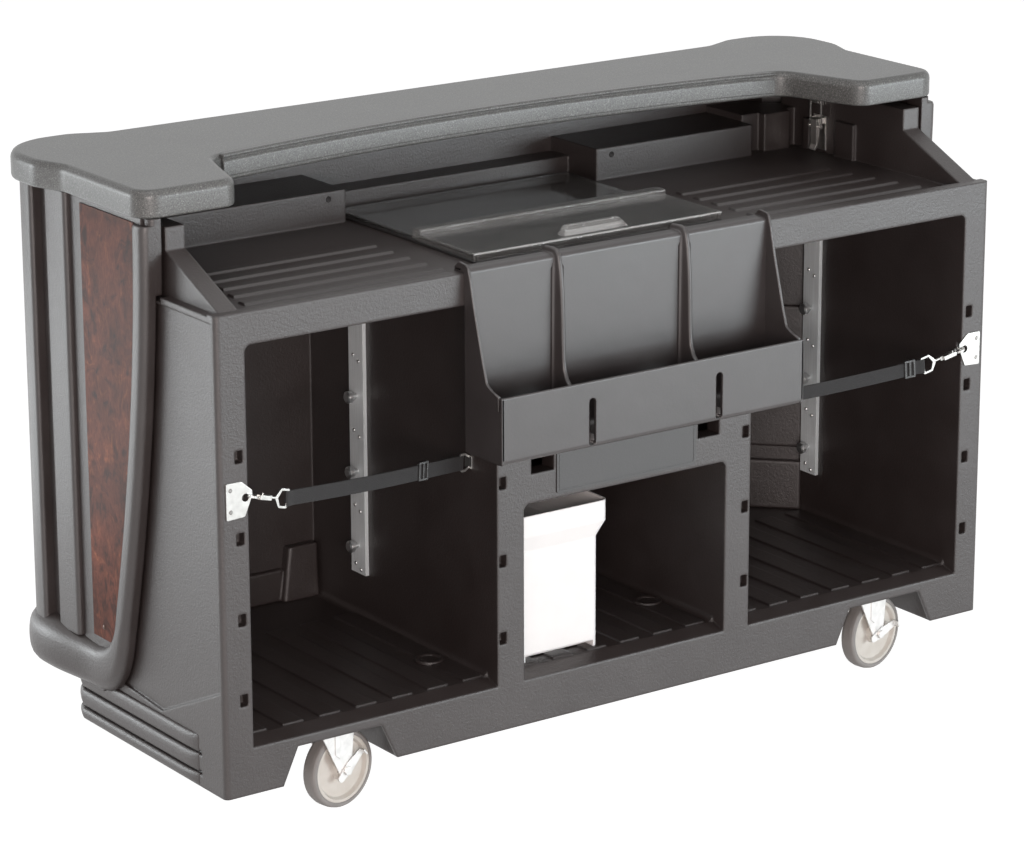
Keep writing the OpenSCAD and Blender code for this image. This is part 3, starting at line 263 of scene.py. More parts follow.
# The bays have moulded humps over the rear casters and steps on their slanting rear walls.
# A shallow drain cup is let into each floor.
BAY_FLOOR, BAY_SUNK = 193, 190
SLANT_X, SLANT_Y = 701, 640
BAY_STEPS = [((6, -4, BAY_SUNK), (200, 13, 299)), ((6, -4, 328), (200, 9, 640))]
HUMP_FOOT = [(-388, 646), (-388, 624), (-384, 616), (-304, 616), (-304, 646)]
HUMP_HEAD = [(-372, 646), (-372, 628), (-367, 621), (-304, 621), (-304, 646)]
HUMP_TOP = 302
HUMP_SHELF = (-700, 629, BAY_SUNK), (-380, 646, 258)
CUP_SECTION = [(0, 1), (15, 1.2), (19, 2.5), (21, 5), (24, 6), (27, 5.2), (29, 2), (29, 0)]
CUP_PLACES = [(-340, 172), (340, 172), (205, 200)]
CUP_SUNK = 2.4


def bevelled(shell, radius, steps=2, sharper=50):
    """Rounds the edges of a shell that are sharper than an angle, to a radius in millimetres."""
    work = bmesh.new()
    corners = [work.verts.new(point) for point in shell[0]]
    for face in shell[1]:
        work.faces.new([corners[k] for k in face])
    bmesh.ops.remove_doubles(work, verts=work.verts, dist=1e-6)
    bmesh.ops.recalc_face_normals(work, faces=work.faces)
    sharp = [
        edge
        for edge in work.edges
        if len(edge.link_faces) == 2 and edge.calc_face_angle() > math.radians(sharper)
    ]
    bmesh.ops.bevel(work, geom=sharp, offset=radius * MM, segments=steps, profile=0.5, affect="EDGES")
    work.verts.index_update()
    made = [v.co.copy() for v in work.verts], [tuple(v.index for v in f.verts) for f in work.faces]
    work.free()
    return made


def soft_block(low, high, radius, steps=2, place=at):
    """A block with rounded edges between two corners."""
    corners = [(x, y, z) for x in (low[0], high[0]) for y in (low[1], high[1]) for z in (low[2], high[2])]
    faces = [(0, 1, 3, 2), (4, 6, 7, 5), (0, 4, 5, 1), (2, 3, 7, 6), (0, 2, 6, 4), (1, 5, 7, 3)]
    return bevelled(([place(*corner) for corner in corners], faces), radius, steps)


def turned(profile, place, sides=40):
    """A part turned from a profile of (radius, height), put in place by a function."""
    rings = []
    for radius, height in profile:
        ring = []
        for k in range(sides):
            angle = 2 * math.pi * k / sides
            ring.append(place(radius * math.cos(angle), radius * math.sin(angle), height))
        rings.append(ring)
    return loft(rings)


def on_slant(run, proud, z):
    """A point on the right bay's slanting rear wall: run along it, proud of it."""
    half = math.sqrt(0.5)
    return at(SLANT_X + (run - proud) * half, SLANT_Y - (run + proud) * half, z)


def drain_cup(x, depth):
    return turned(CUP_SECTION, lambda u, v, h: at(x + u, depth + v, BAY_FLOOR - CUP_SUNK + h))


bay_steps = together(*(soft_block(low, high, 5, 3, on_slant) for low, high in BAY_STEPS))
hump_rings = [[at(x, y, z) for x, y in plan] for plan, z in ((HUMP_FOOT, BAY_SUNK), (HUMP_HEAD, HUMP_TOP))]
hump = together(bevelled(loft(hump_rings), 4), soft_block(*HUMP_SHELF, 5, 3))
drain_cups = together(*(drain_cup(x, depth) for x, depth in CUP_PLACES))
new_piece("bay_steps", both_sides(bay_steps), cabinet_plastic, "bar")
new_piece("bay_humps", both_sides(hump), cabinet_plastic, "bar")
new_piece("drain_cups", drain_cups, cabinet_plastic, "bar")

# A small hole with a rolled rim is moulded near the inner end of each ledge behind the deck.
# It is closed by a flat disc painted near black, which is painted shade for the hollow moulding behind it.
LEDGE_Y = 505
HOLE_X, HOLE_Z = 338, 1030
HOLE_SECTION = [(0, 0.4), (3.4, 0.4), (4.4, 1.1), (5.4, 1.1), (6.2, 0.4), (6.3, -0.5)]
# The near-black colour and its faint flecks are painted shade, standing in for the dark inside of the hole.
painted_hole_shade = new_material("painted_hole_shade", (0.008, 0.006, 0.006), 0.7)
shade_flecks = clouds(painted_hole_shade, place_on_piece(painted_hole_shade), 0.004, 3)
flecked_hole_shade = shades(painted_hole_shade, shade_flecks, [(0.3, (0.006, 0.004, 0.004)), (0.7, (0.013, 0.01, 0.01))])
paint(painted_hole_shade, "Base Color", flecked_hole_shade)


def ledge_hole(x):
    return turned(HOLE_SECTION, lambda u, v, h: at(x + u, LEDGE_Y - h, HOLE_Z + v), 24)


ledge_holes = together(*(ledge_hole(side * HOLE_X) for side in (-1, 1)))
new_piece("ledge_holes", ledge_holes, painted_hole_shade, "bar")

# Each caster has a zinc-plated fork on a plate with four bolts, a cream nylon hub and a grey tyre.
# The two front ones have a pressed brake arm on the axle.
ZINC = (0.78, 0.765, 0.75)
HUB_CREAM_LOW, HUB_CREAM = (0.57, 0.53, 0.48), (0.62, 0.585, 0.54)
TYRE_GREY_LOW, TYRE_GREY = (0.23, 0.215, 0.205), (0.262, 0.245, 0.235)


def cloudy_finish(name, low, high, cloud, roughness, edge, grain, metallic=0.0):
    """A finish with soft clouds in its colour and shine, and a fine grain.

    The cloud is (size, detail), the roughness (least, most) and the grain (size, depth, strength).
    """
    material = new_material(name, high, roughness[0], [("Metallic", metallic)])
    where = place_on_piece(material)
    field = clouds(material, where, *cloud)
    paint(material, "Base Color", shades(material, field, [(0.3, low), (0.7, high)]))
    paint(material, "Roughness", between(material, field, *roughness))
    size, depth, strength = grain
    relief(material, clouds(material, where, size, 2), depth, strength, edge_rounding(material, edge))
    return material


def plated_metal(name, colour, roughness, edge, grain=0.004):
    """Plated or polished metal with a cloudy shine."""
    low = tuple(c * 0.86 for c in colour)
    shine = roughness - 0.06, roughness + 0.1
    return cloudy_finish(name, low, colour, (0.012, 3), shine, edge, (grain, 0.00006, 0.5), 1.0)


zinc_plate = plated_metal("zinc_plate", ZINC, 0.42, 0.0012)
tyre_rubber = cloudy_finish(
    "caster_rubber", TYRE_GREY_LOW, TYRE_GREY, (0.03, 3), (0.55, 0.72), 0.003, (0.0012, 0.0001, 0.5)
)
cream_nylon = cloudy_finish(
    "hub_nylon", HUB_CREAM_LOW, HUB_CREAM, (0.02, 3), (0.36, 0.5), 0.0025, (0.003, 0.0001, 0.4)
)
finish(zinc_plate, "caster_plates", "caster_bolts", "brake_lever_1", "brake_lever_2")
for i in range(1, 5):
    finish(zinc_plate, f"caster_fork_{i}", f"caster_axle_{i}")
    finish(cream_nylon, f"wheel_hub_{i}")
    finish(tyre_rubber, f"tyre_{i}")

# The shelf rails are brushed stainless channels screwed to the bay walls.
# Turned knobs on them carry the shelves.
RAIL_STEEL_AND_SHEEN, SCREW_STEEL = (0.86, 0.92, 0.94), (0.74, 0.75, 0.75)


def brushed_steel():
    """Stainless sheet brushed along its height, near white and mostly not metallic: partly its own tone,
    partly painted reflection.
    """
    # The near-white colour, lit mostly as a plain surface, is painted reflection standing in for the bright
    # sheen of the steel.
    material = new_material("rail_steel_and_sheen", RAIL_STEEL_AND_SHEEN, 0.5, [("Metallic", 0.15)])
    lines = clouds(material, place_on_piece(material, (1, 1, 0.012)), 0.0011, 4, 0.6)
    low = tuple(c * 0.78 for c in RAIL_STEEL_AND_SHEEN)
    paint(material, "Base Color", shades(material, lines, [(0.32, low), (0.68, RAIL_STEEL_AND_SHEEN)]))
    paint(material, "Roughness", between(material, lines, 0.36, 0.56))
    relief(material, lines, 0.00004, 0.5, edge_rounding(material, 0.001))
    return material


screw_steel = plated_metal("screw_steel", SCREW_STEEL, 0.34, 0.0008)
finish(brushed_steel(), "shelf_rails")
finish(screw_steel, "shelf_knobs", "shelf_rail_screws")

# The ice sink is a black moulded basin that hangs in the deck by its flange.
# A steel drain leads down to a brass valve with a red vinyl grip.
SINK_BLACK_LOW, SINK_BLACK = (0.012, 0.01, 0.01), (0.018, 0.015, 0.014)
BRASS = (0.62, 0.44, 0.18)
VINYL_LOW, VINYL_RED = (0.34, 0.02, 0.016), (0.45, 0.035, 0.025)
basin_plastic = pebbled_plastic("basin_plastic", SINK_BLACK_LOW, SINK_BLACK, 0.4, 0.005)
cast_brass = plated_metal("cast_brass", BRASS, 0.38, 0.002, 0.0015)
vinyl_grip = cloudy_finish(
    "vinyl_grip", VINYL_LOW, VINYL_RED, (0.01, 3), (0.3, 0.42), 0.003, (0.002, 0.0001, 0.4)
)
finish(basin_plastic, "ice_sink")
finish(screw_steel, "sink_drain")
finish(cast_brass, "drain_valve")
finish(vinyl_grip, "drain_lever")

# The two lids are clear acrylic sheet with heat-bent edges, a little smoky.
# The rear one lies on the flange. The front one is hazed by wear and slides over it by a frosted handle.
LID_SMOKE, HANDLE_FROST = (0.72, 0.71, 0.7), (0.52, 0.51, 0.5)
ACRYLIC_IOR = 1.49
REAR_HALF, REAR_FRONT, REAR_BACK, REAR_LOW, REAR_TOP = 276, 294, 578, 984.4, 988.2
FRONT_HALF, FRONT_Y, HEM_Y, HEM_BACK = 290, 85.5, 264, 292
LID_LOW, LID_TOP, HEM_TOP, HEM_FOOT, LID_WALL = 985, 1000, 1010, 989.2, 3.4
SKIRT_IN, SKIRT_OUT = 280.4, 283.6
HANDLE_RINGS = [(75, 97, 123, LID_TOP + 0.05), (64, 109, 122, 1015), (61, 112, 120.5, 1016.5)]


def clear_sheet(name, colour, clearness, roughness):
    """Clear sheet with faint streaks where cloths have rubbed it."""
    clear = [("Transmission Weight", clearness), ("IOR", ACRYLIC_IOR)]
    material = new_material(name, colour, roughness, clear)
    rub = clouds(material, place_on_piece(material, (1, 5, 1)), 0.06, 5, 0.6)
    low = tuple(c * 0.9 for c in colour)
    paint(material, "Base Color", shades(material, rub, [(0.3, low), (0.7, colour)]))
    paint(material, "Roughness", between(material, rub, roughness, roughness + 0.08, 0.4, 0.8))
    return material


def rounded_outline(corners, steps=6):
    """A closed outline from corners (u, v, radius), each corner rounded in so many steps."""
    points = []
    for i, (u, v, radius) in enumerate(corners):
        here = Vector((u, v))
        if not radius:
            points.append(here)
            continue
        back = (Vector(corners[i - 1][:2]) - here).normalized()
        ahead = (Vector(corners[(i + 1) % len(corners)][:2]) - here).normalized()
        half = back.angle(ahead) / 2
        centre = here + (back + ahead).normalized() * radius / math.sin(half)
        start = here + back * radius / math.tan(half) - centre
        end = here + ahead * radius / math.tan(half) - centre
        first = math.atan2(start.y, start.x)
        turn = (math.atan2(end.y, end.x) - first + math.pi) % (2 * math.pi) - math.pi
        for k in range(steps + 1):
            angle = first + turn * k / steps
            points.append(centre + radius * Vector((math.cos(angle), math.sin(angle))))
    return points


def front_lid_shell():
    """The front lid's bent section: its front edge turned down, and a hem raised at its back."""
    section = [(FRONT_Y, LID_LOW, 0.8), (FRONT_Y, LID_TOP, 4), (HEM_Y, LID_TOP, 1.5), (HEM_Y, HEM_TOP, 2.5)]
    section += [(HEM_BACK, HEM_TOP, 2.5), (HEM_BACK, HEM_FOOT, 0.8), (HEM_BACK - LID_WALL, HEM_FOOT, 0.8)]
    section += [(HEM_BACK - LID_WALL, HEM_TOP - LID_WALL, 1.6), (HEM_Y + LID_WALL, HEM_TOP - LID_WALL, 1.6)]
    section += [(HEM_Y + LID_WALL, LID_TOP - LID_WALL, 2.5), (FRONT_Y + LID_WALL, LID_TOP - LID_WALL, 3)]
    outline = rounded_outline(section + [(FRONT_Y + LID_WALL, LID_LOW, 0.8)], 5)
    body = loft([[at(x, p.x, p.y) for p in outline] for x in (-FRONT_HALF, FRONT_HALF)])
    skirt_top = LID_TOP - LID_WALL - 0.1
    skirt = soft_block((SKIRT_IN, FRONT_Y + 5, LID_LOW), (SKIRT_OUT, HEM_BACK - 4, skirt_top), 0.8)
    return together(bevelled(body, 0.7, 2, 70), both_sides(skirt))


def handle_shell():
    """A frosted hood whose face slopes down to the front."""
    rings = []
    for half, front, back, z in HANDLE_RINGS:
        corners = [(-half, front, 4), (half, front, 4), (half, back, 4), (-half, back, 4)]
        rings.append([at(p.x, p.y, z) for p in rounded_outline(corners, 4)])
    return loft(rings)


def rear_lid_shell():
    corners = [(-REAR_HALF, REAR_FRONT, 3), (REAR_HALF, REAR_FRONT, 3), (REAR_HALF, REAR_BACK, 14)]
    outline = rounded_outline(corners + [(-REAR_HALF, REAR_BACK, 14)])
    return bevelled(loft([[at(p.x, p.y, z) for p in outline] for z in (REAR_LOW, REAR_TOP)]), 1.1, 3)


lid_sheet = clear_sheet("lid_sheet", LID_SMOKE, 0.96, 0.06)
hazed_sheet = clear_sheet("hazed_sheet", LID_SMOKE, 0.88, 0.09)
frosted_sheet = clear_sheet("frosted_sheet", HANDLE_FROST, 0.82, 0.22)
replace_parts(new_piece("rear_lid_sheet", rear_lid_shell(), lid_sheet, "bar"), "rear_lid")
front_sheet = new_piece("front_lid_sheet", front_lid_shell(), hazed_sheet, "front_lid")
lid_handle = new_piece("front_lid_handle", handle_shell(), frosted_sheet, "front_lid")
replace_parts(front_sheet, "front_lid")
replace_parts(lid_handle, "front_lid")

# The facade is a second charcoal moulding, bolted round the cabinet.
# Its leaning front rails run down into a round bumper in one sweep, and posts divide its sides.
FACADE_R = 835
TURN_Y, TURN_R = 595, 82
QUARTER = TURN_R * math.pi / 2
FACADE_RUN = 2 * TURN_Y + 2 * QUARTER + 2 * FACADE_R
WALL_IN, WALL_OUT = 65, 82
RAIL_FRONT, RAIL_WIDTH, RAIL_OUT = 195, 44, 91
BAR_UNDER, FACADE_FOOT = 1130, 180
LEAN_TOP, LEAN_BACK, LEAN_CURVE = 1105, 150, 1.75
BUMPER_TOP, BUMPER_DIP, BUMPER_OUT = 290, 274, 110
CABINET_RIM = 989.5
NECK_Z, NECK_OUT = 1118, 74
POST_IN, POST_OUT, BAND_OUT, CORNER_OUT = 79, 94, 94.5, 104
SIDE_POSTS, POST_HALF = (-745, -260, 260, 745), 40
ROLL_STEPS = 5
facade_plastic = pebbled_plastic("facade_plastic", CHARCOAL_LOW, CHARCOAL, 0.4, 0.004)


def round_facade(along, out, z):
    """A point on the facade, along its plan from the left front, out from its corner centres."""
    if along < TURN_Y:
        return at(-FACADE_R - out, along, z)
    along -= TURN_Y
    if along < QUARTER:
        angle = along / TURN_R
        return at(-FACADE_R - out * math.cos(angle), TURN_Y + out * math.sin(angle), z)
    along -= QUARTER
    if along < 2 * FACADE_R:
        return at(along - FACADE_R, TURN_Y + out, z)
    along -= 2 * FACADE_R
    if along < QUARTER:
        angle = along / TURN_R
        return at(FACADE_R + out * math.sin(angle), TURN_Y + out * math.cos(angle), z)
    return at(FACADE_R + out, TURN_Y - (along - QUARTER), z)


def facade_lean(z):
    """How far the front rail has leant back at a height."""
    return LEAN_BACK * max(0, (LEAN_TOP - z) / (LEAN_TOP - FACADE_FOOT)) ** LEAN_CURVE


def smooth_step(value, low, high):
    share = min(1, max(0, (value - low) / (high - low)))
    return share * share * (3 - 2 * share)


def facade_band(stations, across=6):
    """A moulded band on the facade.

    A station is (first, last, inner, outer, radius, crown): its two edges as (along, height), the depths
    of its inner and outer faces, the radius of its outer edges and how far its middle swells.
    """
    rings = []
    for first, last, inner, outer, radius, crown in stations:
        span = math.dist(first, last)
        angles = [math.pi / 2 * k / ROLL_STEPS for k in range(ROLL_STEPS + 1)]
        edge = [(radius * (1 - math.cos(a)), radius * (1 - math.sin(a))) for a in angles]
        profile = [(0, inner)] + [(run, outer - drop) for run, drop in edge]
        profile += [(radius + (span - 2 * radius) * k / across, outer) for k in range(1, across)]
        profile += [(span - run, outer - drop) for run, drop in reversed(edge)] + [(span, inner)]
        ring = []
        for k, (run, out) in enumerate(profile):
            share = run / span
            swell = crown * (1 - (2 * share - 1) ** 2) if 0 < k < len(profile) - 1 else 0
            along = first[0] + (last[0] - first[0]) * share
            ring.append(round_facade(along, out + swell, first[1] + (last[1] - first[1]) * share))
        rings.append(ring)
    return loft(rings)


def bend(a, b, c, t):
    """A point on the curve that leaves a towards b and comes in to c."""
    return tuple((1 - t) ** 2 * p + 2 * t * (1 - t) * q + t * t * r for p, q, r in zip(a, b, c))


def end_sweep():
    """The left rail and bumper, from under the bar top to the middle of the customer's side.

    Their edges round off more and more on the way down, from 13 mm to 32 mm.
    """
    stations = []
    heights = [BAR_UNDER, NECK_Z, NECK_Z - 0.5, NECK_Z - 6, 1070, 1030, CABINET_RIM + 0.4, CABINET_RIM - 0.4]
    heights += [940 - 45 * k for k in range(14)]
    for z in heights:
        y = RAIL_FRONT + facade_lean(z)
        inner = 53 if z > CABINET_RIM else WALL_IN
        outer = RAIL_OUT if z < NECK_Z - 5 else RAIL_OUT - 3 if z < NECK_Z else NECK_OUT
        stations.append(((y, z), (y + RAIL_WIDTH, z), inner, outer, 9 if outer == NECK_OUT else 13, 3))
    last_z = heights[-1]
    outer_a = (RAIL_FRONT + facade_lean(last_z - 70), last_z - 70)
    outer_b = (RAIL_FRONT + facade_lean(FACADE_FOOT) + 2, FACADE_FOOT)
    outer_c = (outer_b[0] + 80, FACADE_FOOT)
    inner_a = (RAIL_FRONT + RAIL_WIDTH + facade_lean(last_z), last_z)
    inner_b = (RAIL_FRONT + RAIL_WIDTH + facade_lean(BUMPER_TOP) - 4, BUMPER_DIP + 2)
    inner_c = (inner_b[0] + 66, BUMPER_DIP)
    start = (RAIL_FRONT + facade_lean(last_z), last_z)
    for k in range(1, 5):
        t = k / 5
        first = tuple(start[i] + (outer_a[i] - start[i]) * t for i in range(2))
        last = bend(inner_a, inner_b, inner_c, t * 0.3)
        stations.append((first, last, WALL_IN, RAIL_OUT, 13 + 3 * t, 3 + t))
    for k in range(11):
        t = k / 10
        first = bend(outer_a, outer_b, outer_c, t)
        last = bend(inner_a, inner_b, inner_c, 0.3 + 0.7 * t)
        stations.append((first, last, WALL_IN, RAIL_OUT, 16 + 8 * t, 4 + 2 * t))
    alongs = [445, 470, 495, 520, 545, 570, TURN_Y]
    alongs += [TURN_Y + QUARTER * k / 10 for k in range(1, 11)] + [1100, TURN_Y + QUARTER + FACADE_R]
    for along in alongs:
        swell = smooth_step(along, 425, 580)
        top = BUMPER_DIP + (BUMPER_TOP - BUMPER_DIP) * swell
        outer = RAIL_OUT + (BUMPER_OUT - RAIL_OUT) * swell
        stations.append(((along, FACADE_FOOT), (along, top), WALL_IN, outer, 24 + 8 * swell, 6 + 4 * swell))
    return stations


def other_end(stations):
    """The same stations seen from the right end, in the order that carries on round the bar."""
    turned_over = []
    for first, last, *rest in reversed(stations):
        turned_over.append(((FACADE_RUN - first[0], first[1]), (FACADE_RUN - last[0], last[1]), *rest))
    return turned_over


def wall_shell():
    """The facade's own wall, between its two leaning front edges."""
    fixed = [430, 500, TURN_Y] + [TURN_Y + QUARTER * k / 10 for k in range(1, 11)] + [1100, 1500]
    rings = []
    for z in [FACADE_FOOT + 0.5, 200, 225, 250, 300, 400, 500, 600, 700, 800, 900, 1000, 1105, BAR_UNDER]:
        start = RAIL_FRONT + facade_lean(z) + 22 + 45 * max(0, (250 - z) / 70)
        alongs = [start] + fixed
        alongs += [FACADE_RUN - along for along in reversed(alongs)]
        ring = [round_facade(along, WALL_OUT, z) for along in alongs]
        ring += [round_facade(along, WALL_IN, z) for along in reversed(alongs)]
        rings.append(ring)
    return loft(rings)


def post(start, end, outer, radius, foot=BUMPER_TOP - 14, across=6):
    rows = [((start, z), (end, z), POST_IN, outer, radius, 1) for z in (foot, BAR_UNDER)]
    return facade_band(rows, across)


def flat_band(low, high):
    ends = TURN_Y + QUARTER, TURN_Y + QUARTER + 2 * FACADE_R - 0.01
    return facade_band([((along, low), (along, high), POST_IN, BAND_OUT, 5, 0) for along in ends])


left_sweep = end_sweep()
corner_post = post(586, TURN_Y + QUARTER + 1, CORNER_OUT, 8, across=14)
end_post = post(475, 552, POST_OUT, 8)
side_posts = []
for x in SIDE_POSTS:
    middle = TURN_Y + QUARTER + FACADE_R + x
    side_posts.append(post(middle - POST_HALF, middle + POST_HALF, POST_OUT, 6, 300))
facade_pieces = {
    "facade_wall": wall_shell(),
    "facade_sweep": facade_band(left_sweep + other_end(left_sweep)[1:]),
    "facade_posts": together(both_sides(corner_post), both_sides(end_post), *side_posts),
    "facade_bands": together(flat_band(1082, BAR_UNDER), flat_band(280, 330)),
}
for name, shell in facade_pieces.items():
    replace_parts(new_piece(name, shell, facade_plastic, "bar"), "facade_shell")

# The burl panels are thin laminate sheets set between the posts and held by round-headed screws.
# Their swirled figure is a common wood burl, under a semi-gloss coat.
BURL_DARK, BURL_MID, BURL_LIGHT = (0.034, 0.01, 0.007), (0.14, 0.04, 0.022), (0.3, 0.1, 0.047)
BURL_SHINE, SCREW_BROWN = 0.1, (0.1, 0.07, 0.06)


def stirred(material, vector, size, amount):
    """Pushes a vector about by a soft random field, so that what is drawn on it swirls."""
    push = add_node(material, "ShaderNodeTexNoise", {"Vector": vector, "Scale": 1 / size, "Detail": 2})
    centre = {0: push.outputs["Color"], 1: (0.5, 0.5, 0.5)}
    centred = add_node(material, "ShaderNodeVectorMath", centre, operation="SUBTRACT")
    move = {0: centred.outputs[0], 1: (amount, amount, amount), 2: vector}
    return add_node(material, "ShaderNodeVectorMath", move, operation="MULTIPLY_ADD").outputs[0]


def multiplied(material, colour, shade, share=1.0):
    """Darkens or lightens a colour by a share of a shade."""
    blend = {0: share, 6: colour, 7: shade}
    return add_node(material, "ShaderNodeMix", blend, data_type="RGBA", blend_type="MULTIPLY").outputs[2]


def burl_laminate():
    material = new_material("burl_laminate", BURL_MID, 0.3, [("Specular IOR Level", BURL_SHINE)])
    where = stirred(material, place_on_piece(material, (1, 1, 0.75)), 0.06, 0.05)
    figure = clouds(material, where, 0.04, 7, 0.62, 1.2)
    stops = [(0.32, BURL_DARK), (0.48, BURL_MID), (0.56, BURL_MID), (0.72, BURL_LIGHT)]
    grain = shades(material, figure, stops)
    patches = clouds(material, where, 0.11, 4, 0.6, 0.8)
    mottle = shades(material, patches, [(0.36, (0.45, 0.4, 0.38)), (0.62, (1.15, 1.15, 1.15))])
    cells = {"Scale": 1 / 0.028, "Smoothness": 0.4, "Vector": where}
    eyes = add_node(material, "ShaderNodeTexVoronoi", cells, feature="SMOOTH_F1")
    depth = shades(material, eyes.outputs["Distance"], [(0.05, (0.3, 0.25, 0.22)), (0.32, (1, 1, 1))])
    colour = multiplied(material, multiplied(material, grain, depth, 0.75), mottle)
    along = stirred(material, place_on_piece(material, (1, 1, 0.3)), 0.02, 0.02)
    flecks = clouds(material, along, 0.0035, 3)
    fine = shades(material, flecks, [(0.35, (0.62, 0.55, 0.5)), (0.6, (1.12, 1.1, 1.08))])
    paint(material, "Base Color", multiplied(material, colour, fine, 0.8))
    paint(material, "Roughness", between(material, figure, 0.26, 0.38))
    relief(material, flecks, 0.00004, 0.3)
    return material


finish(burl_laminate(), "end_panel_left", "end_panel_right", "customer_panels")
finish(plated_metal("dark_steel", SCREW_BROWN, 0.35, 0.0008), "panel_screws")

# The bar top is a thick moulded slab with a speckled stone look and well rounded edges.
# A raised nosing runs along the bartender's edge between its two wings.
SLAB_UNDER, SLAB_TOP = 1130, 1181
ARC_DEPTH, ARC_RADIUS = 435, 3700
WING_FRONT, SLAB_HALF, SLAB_BACK = 195, 955, 715
NOSE_HALF, NOSE_END, NOSE_MIDDLE, NOSE_TOP = 650, 660, 1161, 1183
NOSE_SECTION = [
    (10, 1141), (-5.2, 1140), (-6, 1141.5), (-6, 1167), (-5.2, 1169.6), (-2.4, 1171.4), (-1.4, 1173),
    (-2.6, 1174.6), (-4.8, 1176.2), (-5.8, 1178.6), (-4.8, 1181.2), (-2, 1182.7), (1.8, NOSE_TOP),
    (6, 1182.7), (9.2, 1180.8), (11, 1177), (12, 1160),
]
STONE_GREY = (0.116, 0.116, 0.112)
STONE_SPECKS = [
    (0.26, (0.04, 0.04, 0.039)), (0.42, (0.096, 0.096, 0.093)), (0.5, STONE_GREY),
    (0.62, (0.156, 0.156, 0.152)), (0.74, (0.32, 0.32, 0.314)),
]


def speckled_stone():
    material = new_material("speckled_stone", STONE_GREY, 0.34)
    where = place_on_piece(material)
    specks = clouds(material, where, 0.0026, 2, 0.6)
    cloud = clouds(material, where, 0.12, 4)
    patches = shades(material, cloud, [(0.3, (0.93, 0.93, 0.93)), (0.7, (1.05, 1.05, 1.05))])
    speckled = shades(material, specks, STONE_SPECKS)
    paint(material, "Base Color", multiplied(material, speckled, patches))
    paint(material, "Roughness", between(material, specks, 0.26, 0.42))
    rounded = edge_rounding(material, 0.003)
    relief(material, clouds(material, where, 0.0018, 2), 0.00015, 0.5, rounded)
    return material


def bar_front(x, inset):
    """Depth of the slab's front edge between the wings, a shallow arc."""
    return ARC_DEPTH + inset - (ARC_RADIUS - math.sqrt(ARC_RADIUS**2 - x * x))


def slab_outline(inset):
    """The slab's plan, wings and all, drawn in by an inset."""
    half = [(29 + 58 * i, bar_front(29 + 58 * i, inset), 0) for i in range(10)]
    half += [
        (671 + 0.7 * inset, 376 + inset, 45 + inset),
        (729 + 0.7 * inset, WING_FRONT + inset, 38 - inset),
        (930 - inset, WING_FRONT + inset, 42 - inset),
        (930 - inset, 475, 70),
        (SLAB_HALF - inset, 543, 70),
        (SLAB_HALF - inset, SLAB_BACK - inset, 120 - inset),
        (790, SLAB_BACK - inset, 60),
        (720, 686 - inset, 60),
    ]
    return rounded_outline(half + [(-x, y, r) for x, y, r in reversed(half)], 9)


def slab_shell():
    """The slab from its underside up, over its rounded edge."""
    profile = [(9, SLAB_UNDER), (5, SLAB_UNDER), (1.6, 1131.6), (0, 1135), (0, 1166), (0.9, 1171.5)]
    profile += [(3.2, 1176), (6.8, 1179.4), (11, SLAB_TOP), (15, SLAB_TOP)]
    return loft([[at(p.x, p.y, z) for p in slab_outline(inset)] for inset, z in profile])


def nosing_shell():
    """The nosing's section along the slab's edge, drawn in at its ends."""
    stations = [-NOSE_HALF, -NOSE_HALF + 1, -NOSE_HALF + 4]
    stations += [-600 + 50 * k for k in range(25)] + [625, NOSE_END]
    rings = []
    for x in stations:
        shrink = smooth_step(x, 560, NOSE_END) * 7
        tip = {-NOSE_HALF: 2.5, -NOSE_HALF + 1: 0.8}.get(x, 0)
        ring = []
        for dy, z in NOSE_SECTION:
            z = NOSE_MIDDLE + (z - NOSE_MIDDLE) * (1 - tip / 20)
            ring.append(at(x, bar_front(x, 0) + dy + tip + shrink * (1 if dy < 8 else 0), z - shrink * 0.4))
        rings.append(ring)
    return loft(rings)


stone = speckled_stone()
slab = new_piece("bar_slab", slab_shell(), stone, "bar", 30)
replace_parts(slab, "bar_top")
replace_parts(new_piece("bar_nosing", nosing_shell(), stone, "bar", 50), "bar_top")

# Two toggle latches hold the bar top down to the cheeks.
# They are pressed nickel-plated steel, and the wire bail pulls on a keeper under the top.
NICKEL = (0.6, 0.59, 0.57)
nickel = plated_metal("nickel", NICKEL, 0.3, 0.0009)
finish(nickel, "latch_keepers", "latch_bases")
for side in ("left", "right"):
    finish(nickel, f"latch_lever_{side}", f"latch_bail_{side}")

# The bottle rail is a vacuum-formed tray that hooks over the cabinet's rim.
# Two thin ridges swell out of its back and flare into the lip, which has a slot under each.
RAIL_X, RAIL_HALF, SHEET = -20, 352, 6
RAIL_ENDS = (RAIL_X - RAIL_HALF, RAIL_X + RAIL_HALF)
LIP_LOW, LIP_TOP, LIP_OUT = 655, 783, 118
RIDGE_X, RIDGE_SECTION = 148, [(0, 15), (0.04, 12.2), (0.1, 10), (0.22, 8.2), (0.45, 6.9), (0.75, 6)]
SLOT_LOW, SLOT_HIGH, SLOT_HALF = 659, 751, 8
BACK_FACE = 6.3
NOTCH_FOOT, NOTCH_WIDE = 757, 5.5
TRAY_BLACK_LOW, TRAY_BLACK = (0.034, 0.028, 0.0275), (0.044, 0.037, 0.037)
rail_plastic = pebbled_plastic("rail_plastic", TRAY_BLACK_LOW, TRAY_BLACK, 0.4, 0.003, 0.0002)


def sheet_shell():
    """The bent sheet, from its tongue behind the rim down to the lip."""
    outline = rounded_outline(
        [
            (25.3, 981, 1.5), (25.3, 993.3, 1), (-0.3, 993.3, 1), (-0.3, LIP_LOW, 8),
            (-LIP_OUT, LIP_LOW, 10), (-LIP_OUT, LIP_TOP, 2.8), (-LIP_OUT + SHEET, LIP_TOP, 2.8),
            (-LIP_OUT + SHEET, LIP_LOW + SHEET, 7), (-BACK_FACE, LIP_LOW + SHEET, 16),
            (-BACK_FACE, 1001, 9), (31.3, 1001, 9), (31.3, 981, 1.5),
        ]
    )
    return loft([[at(x, p.x, p.y) for p in outline] for x in RAIL_ENDS])


